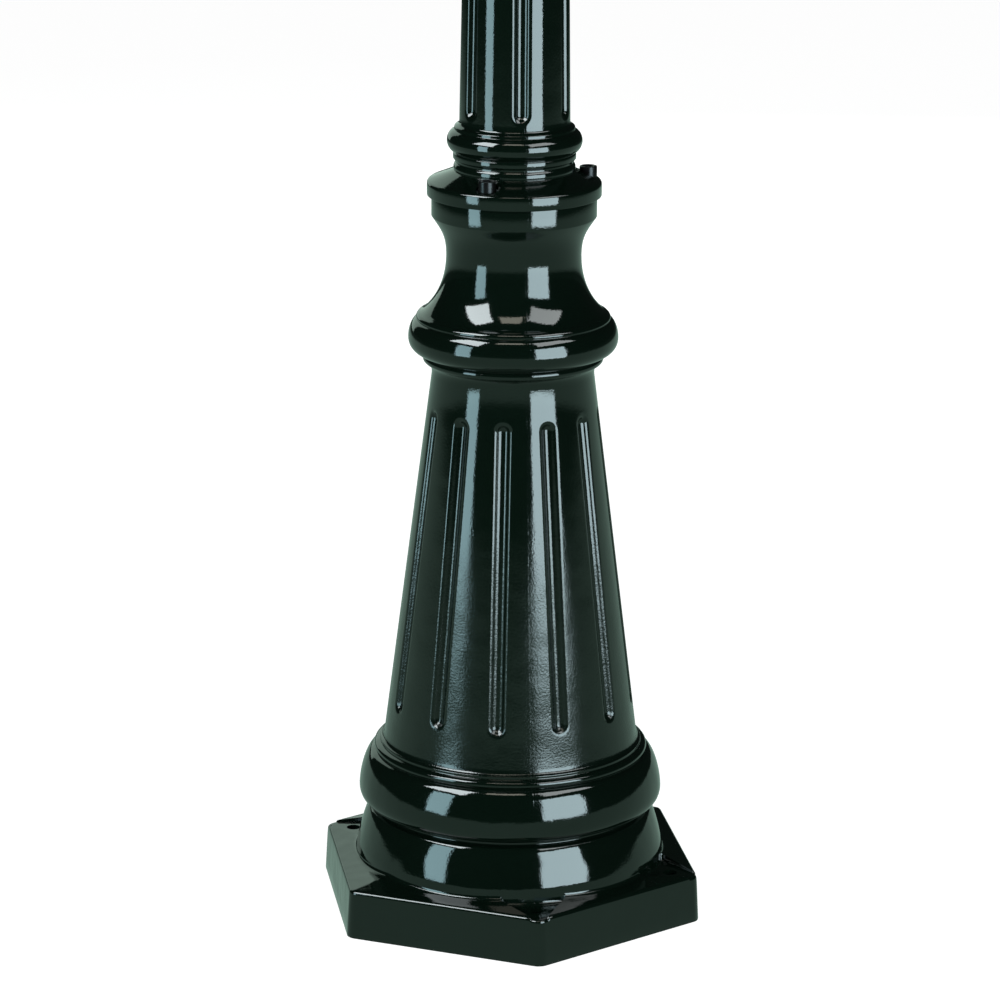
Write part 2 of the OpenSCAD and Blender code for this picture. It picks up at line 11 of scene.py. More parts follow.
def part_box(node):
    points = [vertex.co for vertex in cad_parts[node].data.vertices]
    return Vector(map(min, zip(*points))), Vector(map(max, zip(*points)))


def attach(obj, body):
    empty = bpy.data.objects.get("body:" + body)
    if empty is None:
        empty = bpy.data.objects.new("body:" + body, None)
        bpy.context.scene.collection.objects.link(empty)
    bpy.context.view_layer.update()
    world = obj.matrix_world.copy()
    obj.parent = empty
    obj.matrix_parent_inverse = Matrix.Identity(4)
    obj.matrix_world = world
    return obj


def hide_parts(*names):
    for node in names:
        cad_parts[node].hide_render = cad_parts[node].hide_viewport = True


bl_info = {
    "name": "Street clock",
    "version": (1, 0, 0),
    "blender": (4, 5, 0),
    "location": "View3D > Sidebar > Street clock",
    "description": "Builds the visible pieces of a street clock round its packed parts",
    "category": "Object",
}

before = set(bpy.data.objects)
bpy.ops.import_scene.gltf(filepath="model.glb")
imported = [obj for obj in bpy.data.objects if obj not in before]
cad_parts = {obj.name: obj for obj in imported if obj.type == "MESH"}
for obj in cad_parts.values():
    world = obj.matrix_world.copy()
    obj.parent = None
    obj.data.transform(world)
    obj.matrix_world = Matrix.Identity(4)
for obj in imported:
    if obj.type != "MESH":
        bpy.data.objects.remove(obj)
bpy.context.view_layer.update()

# Meshes are built in millimetres and brought to metres when a piece is added.
MM = 0.001


def top_of(node):
    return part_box(node)[1].z / MM


def foot_of(node):
    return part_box(node)[0].z / MM


# Levels and sizes that several pieces share, in millimetres. Across a dial, U is the depth from
# the middle of the head towards the reader.
PEDESTAL_TOP = top_of("pedestal")
SHAFT_TOP = foot_of("capital")
CAPITAL_TOP = top_of("capital")
DIAL_Z = (top_of("front_dial") + foot_of("front_dial")) / 2
FLANGE_TOP = PEDESTAL_TOP + 13.6
FLANGE_RISE = FLANGE_TOP + 9
SCREW_SEAT = FLANGE_TOP + 1
CASE_R = 245
CASE_HALF = 70
BEZEL_U = CASE_HALF + 0.5
BEZEL_R = 254
SIGHT_R = 214
HINGE_X = -(BEZEL_R + 9)
LOCK_X = 241
LOCK_U = 90.05
FACE_U = 47
FINIAL_Z = DIAL_Z + CASE_R + 16
FRONT, REAR = 0, 1
SIDES = {"front": FRONT, "rear": REAR}


# ---------- sizes and colours that a user may change ----------


def length(name, description, default):
    return FloatProperty(name=name, description=description, default=default, unit="LENGTH", precision=4)


def colour(name, description, default):
    return FloatVectorProperty(name=name, description=description, default=default, subtype="COLOR",
                               size=3, min=0, max=1)


def number(name, description, default):
    return FloatProperty(name=name, description=description, default=default)


class PostSizes(bpy.types.PropertyGroup):
    """Sizes of the cast post's finer shapes."""

    flute_width: length("Flute width", "Width of a flute over its rounded lips", 0.0195)
    flute_depth: length("Flute depth", "Depth of a flute at its middle", 0.005)
    flute_bottom: length("Flute bottom", "Radius of a flute's round bottom", 0.0066)
    plate_edge: length("Plate edge", "Rounding of the foot plate's top edge", 0.0028)
    plate_corner: length("Plate corner", "Rounding of the foot plate's upright corners", 0.012)
    moulding_edge: length("Moulding edge", "Rounding of the creases between mouldings", 0.0008)


class HeadSizes(bpy.types.PropertyGroup):
    """Sizes of the clock head's finer shapes."""

    edge: length("Edge", "Bevel along the edges of the saddle, lugs and hands", 0.0008)
    thick_stroke: length("Thick stroke", "Width of a numeral's thick strokes", 0.0052)
    thin_stroke: length("Thin stroke", "Width of a numeral's thin strokes", 0.0022)
    serif: length("Serif", "Height of a numeral's serifs", 0.0016)
    track_in: length("Track inside", "Inner radius of the minute track", 0.1915)
    track_out: length("Track outside", "Outer radius of the minute track", 0.199)


class Colours(bpy.types.PropertyGroup):
    """Base colours of the finishes."""

    paint: colour("Paint", "Gloss paint of the castings", (0.0026, 0.0083, 0.0053))
    black_steel: colour("Black steel", "Blackened screws", (0.012, 0.012, 0.013))
    zinc: colour("Zinc", "Zinc-plated steel", (0.6, 0.61, 0.62))
    brass: colour("Brass", "Turned brass", (0.72, 0.52, 0.22))
    hands: colour("Hands", "Satin paint of the hands", (0.012, 0.012, 0.013))
    dial: colour("Dial", "Opal acrylic of the dials", (0.86, 0.85, 0.79))
    print_black: colour("Print", "Ink of the numerals and the track", (0.01, 0.01, 0.011))
    plastic: colour("Plastic", "Moulded cases of the movements", (0.08, 0.085, 0.09))
    lamp: colour("Lamp cover", "Milky cover of the light bars", (0.85, 0.86, 0.84))
    glass: colour("Glass", "Tint of the glass", (0.9, 0.97, 0.95))
    rubber: colour("Rubber", "Gaskets", (0.015, 0.015, 0.016))


class StageSizes(bpy.types.PropertyGroup):
    """Camera, floor and lamps."""

    lens: number("Lens", "Focal length in millimetres on a 36 mm sensor", 154.34)
    camera_distance: length("Camera distance", "From the post's axis to the camera", 3.8)
    camera_height: length("Camera height", "Height of the camera over the floor", 1.4589)
    camera_turn: number("Camera turn", "Where the camera stands round the post, in degrees", -38.8)
    camera_yaw: number("Camera yaw", "Turn of the camera off the axis, in degrees", 0.167)
    camera_pitch: number("Camera pitch", "Tilt of the camera below the horizon, in degrees", 15.77)
    camera_roll: number("Camera roll", "Roll of the camera, in degrees", 0.379)
    floor_size: length("Floor size", "Side of the floor", 60.0)
    wide_box: number("Wide softbox", "Brightness of the wide softbox", 10.9)
    narrow_box: number("Narrow softbox", "Brightness of the narrow softbox", 7.6)
    high_boxes: number("High softboxes", "Brightness of the softboxes over head height", 15.0)
    fill: number("Fill", "Brightness of the panels that light the dials and the floor", 3.2)
    back_card: number("Back card", "Brightness of the card behind the post", 0.9)


# ---------- mesh tools ----------


class Bend:
    """A curved stretch of an outline: its two handles, its end and its number of chords."""

    def __init__(self, leave, arrive, end, chords=10, start=None):
        self.leave, self.arrive, self.end, self.chords, self.start = leave, arrive, end, chords, start

    def points_from(self, last):
        """Points of the cubic curve after its start, which is the outline's last point if not given."""
        handles = (self.start or last, self.leave, self.arrive, self.end)
        points = []
        for i in range(1, self.chords + 1):
            t = i / self.chords
            s = 1 - t
            weights = (s**3, 3 * s * s * t, 3 * s * t * t, t**3)
            points.append(tuple(sum(w * h for w, h in zip(weights, axis)) for axis in zip(*handles)))
        return points


def drawn(*steps):
    """An outline from corners and bends."""
    points = []
    for step in steps:
        points += step.points_from(points[-1]) if isinstance(step, Bend) else [step]
    return points


def softened(points, radius, sharp=28, n=3):
    """An open outline whose corners are rounded off."""
    out = [points[0]]
    for before, corner, after in zip(points, points[1:], points[2:]):
        corner = Vector(corner)
        back, on = Vector(before) - corner, Vector(after) - corner
        if math.degrees(math.pi - back.angle(on)) < sharp:
            out.append(tuple(corner))
            continue
        reach = min(radius, 0.42 * back.length, 0.42 * on.length)
        start, end = corner + back.normalized() * reach, corner + on.normalized() * reach
        for i in range(n + 1):
            t = i / n
            out.append(tuple((1 - t) ** 2 * start + 2 * t * (1 - t) * corner + t * t * end))
    return out + [points[-1]]


def spun(points, steps, closed=True):
    """A solid of revolution about Z from an outline of (radius, height) points."""
    bm = bmesh.new()
    verts = [bm.verts.new((r, 0, z)) for r, z in points]
    edges = [bm.edges.new(pair) for pair in zip(verts, verts[1:])]
    if closed:
        edges.append(bm.edges.new((verts[-1], verts[0])))
    bmesh.ops.spin(bm, geom=verts + edges, cent=(0, 0, 0), axis=(0, 0, 1), dvec=(0, 0, 0),
                   angle=2 * math.pi, steps=steps, use_merge=True)
    bmesh.ops.remove_doubles(bm, verts=bm.verts, dist=0.0005)
    bmesh.ops.dissolve_degenerate(bm, edges=bm.edges, dist=0.0005)
    bmesh.ops.recalc_face_normals(bm, faces=bm.faces)
    return bm


def block(low, high, edge):
    """A box between two corners, with its edges bevelled."""
    bm = bmesh.new()
    low, high = Vector(low), Vector(high)
    place = Matrix.Translation((low + high) / 2) @ Matrix.Diagonal(high - low).to_4x4()
    bmesh.ops.create_cube(bm, size=1, matrix=place)
    return bevelled(bm, edge)


def bevelled(bm, width, segments=2, over=30, only=None):
    """Bevels the edges where faces meet at more than an angle."""
    edges = [e for e in bm.edges if len(e.link_faces) == 2
             and e.calc_face_angle(0) > math.radians(over) and (only is None or only(e))]
    bmesh.ops.bevel(bm, geom=edges, offset=width, offset_type="OFFSET", affect="EDGES",
                    segments=segments, profile=0.5, material=-1, clamp_overlap=True)
    return bm


def extruded(outline, low, high):
    """A prism along Z over a flat outline."""
    bm = bmesh.new()
    face = bm.faces.new([bm.verts.new((x, y, low)) for x, y in outline])
    raised = bmesh.ops.extrude_face_region(bm, geom=[face], use_keep_orig=True)
    bmesh.ops.translate(bm, vec=(0, 0, high - low),
                        verts=[v for v in raised["geom"] if isinstance(v, bmesh.types.BMVert)])
    bmesh.ops.recalc_face_normals(bm, faces=bm.faces)
    return bm


def moved(bm, matrix):
    bm.transform(matrix)
    return bm


def shift(x, y, z):
    return Matrix.Translation((x, y, z))


def turn(degrees, axis="Z"):
    return Matrix.Rotation(math.radians(degrees), 4, axis)


def together(*parts):
    """One mesh of several that don't touch."""
    bm = bmesh.new()
    for part in parts:
        mesh = bpy.data.meshes.new("part")
        part.to_mesh(mesh)
        part.free()
        bm.from_mesh(mesh)
        bpy.data.meshes.remove(mesh)
    return bm


def standing(bm):
    """A loose object that holds a mesh while it is cut."""
    mesh = bpy.data.meshes.new("cutting")
    bm.to_mesh(mesh)
    bm.free()
    obj = bpy.data.objects.new("cutting", mesh)
    bpy.context.scene.collection.objects.link(obj)
    return obj


def combined(bm, tool, operation):
    """The mesh after another solid is cut from it or joined to it."""
    body, other = standing(bm), standing(tool)
    cut = body.modifiers.new("cut", "BOOLEAN")
    cut.object, cut.operation, cut.solver = other, operation, "MANIFOLD"
    made = bmesh.new()
    made.from_object(body, bpy.context.evaluated_depsgraph_get())
    for obj in (body, other):
        mesh = obj.data
        bpy.data.objects.remove(obj)
        bpy.data.meshes.remove(mesh)
    bmesh.ops.remove_doubles(made, verts=made.verts, dist=0.0002)
    return made


def cut_by(bm, tool):
    return combined(bm, tool, "DIFFERENCE")


def joined_to(bm, tool):
    return combined(bm, tool, "UNION")


def made_hexagonal(bm, chosen, least=0):
    """Moves the turned points that chosen(radius, height) picks in to the flats of a hexagon."""
    for vert in bm.verts:
        r, angle = math.hypot(vert.co.x, vert.co.y), math.atan2(vert.co.y, vert.co.x)
        if chosen(r, vert.co.z):
            r *= math.cos(math.pi / 6) / math.cos(angle % (math.pi / 3) - math.pi / 6)
            vert.co.x, vert.co.y = max(r, least) * math.cos(angle), max(r, least) * math.sin(angle)
    return bm


def rod(radius, low, high, steps=48):
    return spun([(0, low), (radius, low), (radius, high), (0, high)], steps, closed=False)


def on_dial(side):
    """Turns a mesh whose +Z points out of a dial to its place on the head."""
    return shift(0, 0, DIAL_Z) @ turn(180 * side) @ turn(90, "X")


def add_piece(name, bm, finish, body, *nodes, sharp=32):
    """Adds a finished mesh as a piece that rides on a body, and hides the CAD nodes it replaces."""
    if any(len(e.link_faces) != 2 for e in bm.edges):
        raise RuntimeError(f"{name} is not closed")
    bm.transform(Matrix.Scale(MM, 4))
    mesh = bpy.data.meshes.new(name)
    bm.to_mesh(mesh)
    bm.free()
    mesh.shade_smooth()
    mesh.set_sharp_from_angle(angle=math.radians(sharp))
    obj = bpy.data.objects.new(name, mesh)
    bpy.context.scene.collection.objects.link(obj)
    mesh.materials.append(finish_of(finish))
    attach(obj, body)
    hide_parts(*nodes)


# ---------- finishes ----------


class Value:
    """A number that varies over a surface, so that shader sums read as sums."""

    def __init__(self, finish, socket):
        self.finish, self.socket = finish, socket

    def maths(self, operation, first, second=None):
        values = [first] if second is None else [first, second]
        return self.finish.node("ShaderNodeMath", {"operation": operation}, dict(enumerate(values)))

    def __add__(self, other):
        return self.maths("ADD", self, other)

    def __sub__(self, other):
        return self.maths("SUBTRACT", self, other)

    def __rsub__(self, other):
        return self.maths("SUBTRACT", other, self)

    def __mul__(self, other):
        return self.maths("MULTIPLY", self, other)

    def __abs__(self):
        return self.maths("ABSOLUTE", self)

    __radd__, __rmul__ = __add__, __mul__


class Finish:
    """One procedural material, laid out on Object coordinates in metres."""

    def __init__(self, name, base, **settings):
        self.material = bpy.data.materials.new(name)
        self.material.use_nodes = True
        self.tree = self.material.node_tree
        self.shader = self.tree.nodes["Principled BSDF"]
        self.place = self.tree.nodes.new("ShaderNodeTexCoord").outputs["Object"]
        self.base = (*base, 1)
        self.set("Base Color", self.base)
        for socket, value in settings.items():
            self.set(socket.replace("_", " "), value)

    def set(self, socket, value):
        self.plug(value, self.shader.inputs[socket])

    def plug(self, value, socket):
        if isinstance(value, Value):
            self.tree.links.new(value.socket, socket)
        elif isinstance(value, bpy.types.NodeSocket):
            self.tree.links.new(value, socket)
        else:
            socket.default_value = value

    def node(self, kind, settings, inputs, output=0):
        node = self.tree.nodes.new(kind)
        for name, value in settings.items():
            setattr(node, name, value)
        for name, value in inputs.items():
            self.plug(value, node.inputs[name])
        return Value(self, node.outputs[output])

    def noise(self, scale, detail=2.0, roughness=0.5, stretch=None):
        """Soft noise from 0 to 1, with scale in waves a metre."""
        place = self.place
        if stretch:
            place = self.node("ShaderNodeMapping", {}, {"Vector": place, "Scale": stretch})
        return self.node("ShaderNodeTexNoise", {}, {"Vector": place, "Scale": scale, "Detail": detail,
                                                    "Roughness": roughness})

    def between(self, value, low, high):
        """A value spread from 0 to 1 between two limits, and held beyond them."""
        return self.node("ShaderNodeMapRange", {"interpolation_type": "SMOOTHSTEP"},
                         {"Value": value, "From Min": low, "From Max": high})

    def axis(self, name):
        return self.node("ShaderNodeSeparateXYZ", {}, {"Vector": self.place}, name)

    def tint(self, factor, other):
        """The base colour mixed with another by a factor."""
        inputs = {0: factor, 6: self.base, 7: (*other, 1)}
        return self.node("ShaderNodeMix", {"data_type": "RGBA"}, inputs, 2)

    def bump(self, height, distance):
        self.set("Normal", self.node("ShaderNodeBump", {}, {"Height": height, "Distance": distance}))


def scaled(tone, by):
    return tuple(min(1, c * by) for c in tone)


# Angle of the mould's parting seam round the castings
SEAM_TURN = 60


def gloss_paint(colours):
    """Thick gloss paint on sand castings: smooth above, hazier and rougher towards the foot."""
    paint = Finish("green_paint", colours.paint)
    height = paint.axis("Z")
    low = 1 - paint.between(height, 0.27, 0.44)
    cone = low * paint.between(height, 0.155, 0.165)
    grain = paint.noise(520, 2, 0.6)
    swell = paint.noise(34, 1)
    patch = paint.noise(90, 3, 0.6)
    paint.set("Base Color", paint.tint(patch * 0.35, scaled(colours.paint, 1.6)))
    paint.set("Roughness", 0.04 + cone * 0.11 + patch * 0.03)
    parting = math.radians(SEAM_TURN)
    from_seam = abs(paint.axis("X") * math.sin(parting) - paint.axis("Y") * math.cos(parting))
    seam = 1 - paint.between(from_seam, 0.0004, 0.0016)
    paint.bump(grain * (0.045 + cone * 0.16) + swell * (0.25 + low * 0.45) + seam * 0.03, 0.0008)
    paint.set("IOR", 1.5)
    return paint


def blackened_steel(colours):
    steel = Finish("black_steel", colours.black_steel, Metallic=0.7)
    wear = steel.noise(160, 4, 0.6)
    worn = steel.between(wear, 0.55, 0.8) * 0.6
    steel.set("Base Color", steel.tint(worn, scaled(colours.black_steel, 3)))
    steel.set("Roughness", 0.2 + wear * 0.2)
    steel.bump(steel.noise(900, 2), 0.0001)
    return steel


def zinc_plate(colours):
    zinc = Finish("zinc_steel", colours.zinc, Metallic=1.0)
    bloom = zinc.noise(45, 4, 0.65)
    zinc.set("Base Color", zinc.tint(bloom * 0.5, scaled(colours.zinc, 0.7)))
    zinc.set("Roughness", 0.26 + bloom * 0.22)
    zinc.bump(zinc.noise(700, 2, stretch=(1, 1, 0.15)), 0.0001)
    return zinc


def turned_brass(colours):
    brass = Finish("brass", colours.brass, Metallic=1.0)
    tarnish = brass.noise(70, 4, 0.6)
    dulled = brass.between(tarnish, 0.45, 0.75) * 0.6
    brass.set("Base Color", brass.tint(dulled, scaled(colours.brass, 0.55)))
    brass.set("Roughness", 0.2 + tarnish * 0.2)
    brass.bump(brass.noise(1500, 1, stretch=(0.1, 1, 0.1)), 0.00006)
    return brass


def hand_paint(colours):
    satin = Finish("hand_black", colours.hands)
    satin.set("Roughness", 0.3 + satin.noise(60, 3) * 0.15)
    satin.set("Specular IOR Level", 0.25)
    satin.bump(satin.noise(600, 2), 0.00012)
    return satin


def opal_acrylic(colours):
    opal = Finish("opal_dial", colours.dial)
    cloud = opal.noise(7, 3)
    opal.set("Base Color", opal.tint(cloud * 0.25, scaled(colours.dial, 0.9)))
    opal.set("Roughness", 0.22 + opal.noise(40, 2) * 0.1)
    opal.bump(opal.noise(25, 1), 0.0002)
    return opal


def dial_print(colours):
    ink = Finish("black_mark", colours.print_black)
    ink.set("Roughness", 0.45 + ink.noise(300, 2) * 0.15)
    ink.set("Specular IOR Level", 0.12)
    ink.bump(ink.noise(1200, 2), 0.00005)
    return ink


def moulded_plastic(colours):
    plastic = Finish("grey_plastic", colours.plastic)
    plastic.set("Roughness", 0.48 + plastic.noise(80, 3) * 0.12)
    plastic.bump(plastic.noise(1300, 2, 0.7), 0.00015)
    return plastic


def milky_cover(colours):
    cover = Finish("lamp_cover", colours.lamp)
    cover.set("Roughness", 0.3 + cover.noise(120, 2) * 0.1)
    cover.bump(cover.noise(500, 1, stretch=(0.05, 1, 1)), 0.0001)
    return cover


def gasket_rubber(colours):
    rubber = Finish("gasket_rubber", colours.rubber)
    rubber.set("Roughness", 0.6 + rubber.noise(200, 3) * 0.2)
    rubber.bump(rubber.noise(800, 2), 0.0001)
    return rubber


def clear_glass(colours):
    """A pane that lets its dial show, with a mirror that grows towards grazing sight."""
    glass = Finish("pane", colours.glass)
    glass.set("Roughness", 0.015 + glass.between(glass.noise(9, 5, 0.6), 0.55, 0.8) * 0.05)
    tree = glass.tree
    through = tree.nodes.new("ShaderNodeBsdfTransparent")
    through.inputs["Color"].default_value = (0.95, 0.98, 0.965, 1)
    mirror = glass.node("ShaderNodeFresnel", {}, {"IOR": 1.5})
    shaders = {0: mirror, 1: through.outputs[0], 2: glass.shader.outputs[0]}
    mix = glass.node("ShaderNodeMixShader", {}, shaders)
    glass.plug(mix, tree.nodes["Material Output"].inputs["Surface"])
    return glass


FINISHES = {
    "green_paint": gloss_paint, "black_steel": blackened_steel, "zinc_steel": zinc_plate,
    "brass": turned_brass, "hand_black": hand_paint, "opal_dial": opal_acrylic,
    "black_mark": dial_print, "grey_plastic": moulded_plastic, "lamp_cover": milky_cover,
    "gasket_rubber": gasket_rubber, "pane": clear_glass,
}


def finish_of(name):
    """The material of a finish, made when it is first asked for."""
    return bpy.data.materials.get(name + "_finish") or made_finish(name)


def made_finish(name):
    material = FINISHES[name](bpy.context.scene.clock_colours).material
    material.name = name + "_finish"
    return material


# ---------- fluted columns ----------

# Distances of a column's edges from its flute's middle, and the even steps beside the flute
FLUTE_STEPS = (0, 1.3, 2.6, 3.8, 4.8, 5.6, 6.3, 7.0, 7.7, 8.4, 9.1, 9.75, 10.6)
BESIDE_STEPS = 4
HALF_COLUMNS = len(FLUTE_STEPS) - 1 + BESIDE_STEPS
ROW_STEP = 0.85


def column_angle(j, half, radius):
    """Angle of column j from its flute's middle: fixed distances over a flute, even steps beside it."""
    near = len(FLUTE_STEPS) - 1
    if abs(j) <= near:
        angle = math.asin(FLUTE_STEPS[abs(j)] / radius)
    else:
        edge = math.asin(FLUTE_STEPS[near] / radius)
        angle = edge + (half - edge) * (abs(j) - near) / BESIDE_STEPS
    return math.copysign(angle, j)


def flute_depth(distance, post):
    """Depth of a flute at a distance from its middle line: a round bottom that turns into round lips."""
    half, depth, bottom = (x / MM for x in (post.flute_width / 2, post.flute_depth, post.flute_bottom))
    steepest = 2 * math.atan(depth / half)
    lip = half / math.sin(steepest) - bottom
    if distance >= half:
        return 0
    if distance >= bottom * math.sin(steepest):
        return lip - math.sqrt(max(0, lip * lip - (half - distance) ** 2))
    return depth - bottom + math.sqrt(bottom * bottom - distance * distance)


def eased(value, low, high):
    """0 up to the low limit, 1 from the high one on, and smooth between."""
    t = min(1, max(0, (value - low) / (high - low)))
    return t * t * (3 - 2 * t)


def spread(i, *stops):
    """Place of column i on the straight stretches between (column, place) stops."""
    for (i1, place1), (i2, place2) in zip(stops, stops[1:]):
        if i <= i2:
            return place1 + (place2 - place1) * (i - i1) / (i2 - i1)
    return stops[-1][1]


def taper(z, r1, z1, r2, z2):
    """Radius of a straight taper at a height."""
    return r1 + (r2 - r1) * (z - z1) / (z2 - z1)


def flute_heights(low, high, gaps, reach=13):
    """Heights of a fluted stretch's rows: close together over its round ends, far apart between."""
    ends = [i * ROW_STEP for i in range(int(reach / ROW_STEP) + 1)]
    between = [low + reach + (high - low - 2 * reach) * i / gaps for i in range(1, gaps)]
    return [low - 2, *(low + e for e in ends), *between, *(high - e for e in reversed(ends)), high + 2]


# ---------- pedestal ----------

PLATE_R = 190
PLATE_H = 44.5
PLATE_SLOPE = math.tan(math.radians(9))
PLATE_DRAFT = math.tan(math.radians(3))
PLATE_APOTHEM = PLATE_R * math.cos(math.radians(30))
PLATE_WALL = 10
PAD_Z = PLATE_H - 1
PAD_CORNERS = (1, 2, 4, 5)
ANCHOR_R = 160
ANCHOR_HOLE = 6.5
BOSS_R = 17
RING_R = 146
CONE = (117.5, 164, 74.2, 508)  # radius and height at its foot, then at its top
FLUTES_LOW, FLUTES_HIGH = 192, 480
# Columns of a twelfth of the plate, from a corner to the middle of a side: the first ones go round
# the corner, and PAD_STEP are those between which a pad's steep side rises to the slope
TWELFTH = 2 * HALF_COLUMNS
ARC_COLUMNS = 5
PAD_STEP = (10, 14)
# Distances of a pad's side from its corner along the rim, and from its middle at the bell foot, and
# half the side's width
PAD_EDGE_OUT, PAD_EDGE_IN = 4.5, 29
PAD_SIDE = 0.8
# Heights between which the columns swing from the pads' spacing to the flutes'
SWING = (57, 87)


def pedestal_outline(post):
    """The pedestal's outside from the band's top down to the foot, as (radius, height)."""
    cone = [(taper(z, *CONE), z) for z in reversed(flute_heights(FLUTES_LOW, FLUTES_HIGH, 7))]
    neck = drawn((50.1, PEDESTAL_TOP), (75, PEDESTAL_TOP), (75, 654.1), (74.6, 653.5),
                 Bend((66, 641), (61.4, 635), (61.4, 617), 12),
                 Bend((61.4, 590), (74, 572), (84, 564.3), 12),
                 Bend((87.5, 563.5), (89.6, 560.5), (88.2, 558.6), 6))
    upper_torus = drawn((89.5, 558),
                        Bend((93, 555.5), (95.7, 549), (95.8, 541.5)),
                        Bend((95.8, 534), (92, 528.5), (80.5, 526)),
                        Bend((83.5, 525.2), (83.5, 518.6), (79, 518.4), 6, start=(80.5, 525.6)),
                        Bend((76.5, 517.5), (74.2, 514), (74.2, 508), 6))
    bead = drawn(CONE[:2],
                 Bend((117.9, 161), (119, 159), (121.5, 158.5), 5), (121.5, 155.6), (124, 155),
                 Bend((128, 154), (128, 149), (125, 148), 6))
    lower_torus = drawn((129, 147),
                        Bend((136, 142), (140.6, 124), (141, 112), 14),
                        Bend((141.2, 103), (136, 99), (125, 97)), (125, 94), (131, 92.5),
                        Bend((135.5, 88), (141.5, 64), (143.2, 56), 9))
    return softened(neck + upper_torus + cone + bead + lower_torus, post.moulding_edge / MM)


def plate_top(x, y, padded):
    """Height of the plate's top at a point of a corner's own frame, sloping or level on a pad."""
    out = x * math.cos(math.radians(30)) + abs(y) * math.sin(math.radians(30))
    sloping = PLATE_H + (PLATE_APOTHEM - out) * PLATE_SLOPE
    return sloping + (PAD_Z - sloping) * padded


def pad_share(i):
    """How far column i belongs to its corner's pad: 1 inside it, 0 outside, steep between."""
    return 1 - eased(i, *PAD_STEP)


def plate_rim(i, inset, corner_round):
    """Point i of the plate's rounded hexagon, a distance inside its foot, in a corner's own frame."""
    centre = (PLATE_APOTHEM - corner_round) / math.cos(math.radians(30))
    straight = centre / 2
    arc = math.radians(30) * min(1, i / ARC_COLUMNS)
    along = spread(i, (0, 0), (ARC_COLUMNS, 0), (PAD_STEP[0], PAD_EDGE_OUT - PAD_SIDE),
                   (PAD_STEP[1], PAD_EDGE_OUT + PAD_SIDE), (TWELFTH, straight))
    radius = corner_round - inset
    side = math.radians(120)
    return (centre + radius * math.cos(arc) + along * math.cos(side),
            radius * math.sin(arc) + along * math.sin(side))


def ring_angle(i):
    """Angle from its corner of column i where the bell foot meets the plate."""
    if i > PAD_STEP[1]:
        start = math.asin((PAD_EDGE_IN + PAD_SIDE) / RING_R)
        return spread(i, (PAD_STEP[1], start), (TWELFTH, math.radians(30)))
    across = spread(i, (0, 0), (PAD_STEP[0], PAD_EDGE_IN - PAD_SIDE), (PAD_STEP[1], PAD_EDGE_IN + PAD_SIDE))
    return math.asin(across / RING_R)


def bell_point(i, r, z, post):
    """Point of column i on the turned part, with its flutes sunk in, in a corner's own frame."""
    cone_z = min(max(z, CONE[1]), CONE[3])
    j = i - HALF_COLUMNS
    bend = column_angle(j, math.radians(15), taper(cone_z, *CONE))
    angle = math.radians(15) + bend
    angle = ring_angle(i) + (angle - ring_angle(i)) * eased(z, *SWING)
    reach = post.flute_width / MM / 2
    if FLUTES_LOW < z < FLUTES_HIGH and abs(r - taper(z, *CONE)) < 1:
        along = max(FLUTES_LOW + reach - z, z - FLUTES_HIGH + reach, 0)
        r -= flute_depth(math.hypot(r * math.sin(bend), along), post)
    return r * math.cos(angle), r * math.sin(angle), z


def pedestal_rows(post):
    """The rows of the pedestal's closed section, as (radius, height, place).

    The radius and height are where the row is spun, and place(i, pad) is where its point i goes.
    """
    edge, corner = post.plate_edge / MM, post.plate_corner / MM

    def bell(r, z):
        return r, z, lambda i, pad: bell_point(i, r, z, post)

    def fillet(r, rise):
        def place(i, pad):
            x, y = r * math.cos(ring_angle(i)), r * math.sin(ring_angle(i))
            return x, y, plate_top(x, y, pad) + rise
        return r, 50 + rise, place

    def slope(share):
        def place(i, pad):
            x1, y1 = RING_R * math.cos(ring_angle(i)), RING_R * math.sin(ring_angle(i))
            x2, y2 = plate_rim(i, PLATE_H * PLATE_DRAFT + edge, corner)
            x, y = x1 + (x2 - x1) * share, y1 + (y2 - y1) * share
            return x, y, plate_top(x, y, pad)
        return RING_R + 12 * share, 50 - 5 * share, place

    def rim(degrees):
        a = math.radians(degrees)

        def place(i, pad):
            x, y = plate_rim(i, PLATE_H * PLATE_DRAFT + edge * (1 - math.sin(a)), corner)
            return x, y, plate_top(x, y, pad) - edge * (1 - math.cos(a))
        return RING_R + 14 + math.sin(a), 44 - (1 - math.cos(a)), place

    def wall(inset, z, r):
        def place(i, pad):
            x, y = plate_rim(i, inset, corner)
            return x, y, z
        return r, z, place

    outside = [bell(r, z) for r, z in pedestal_outline(post)]
    foot = [fillet(143.5, 2.8), fillet(143.9, 1.3), fillet(144.8, 0.4)]
    top = [slope(s) for s in (0, 0.12, 0.35, 0.6, 0.82, 0.94)]
    edges = [rim(a) for a in (0, 18, 36, 54, 72, 90)]
    walls = [wall(z * PLATE_DRAFT, z, 162) for z in (36, 24, 12, 1.2)]
    under = [wall(0.3, 0.3, 161.5), wall(1.2, 0, 161), wall(PLATE_WALL - 1, 0, 152),
             wall(PLATE_WALL, 1, 151), wall(PLATE_WALL, 33, 151), wall(PLATE_WALL + 1.5, 34.5, 149)]
    hollow = [(131, 34.5), (129, 36.5), (129, 60), (117, 92), (117, 145), (106, 164), (64, 508),
              (72, 530), (72, 550), (50.1, 580)]
    return outside + foot + top + edges + walls + under + [bell(r, z) for r, z in hollow]


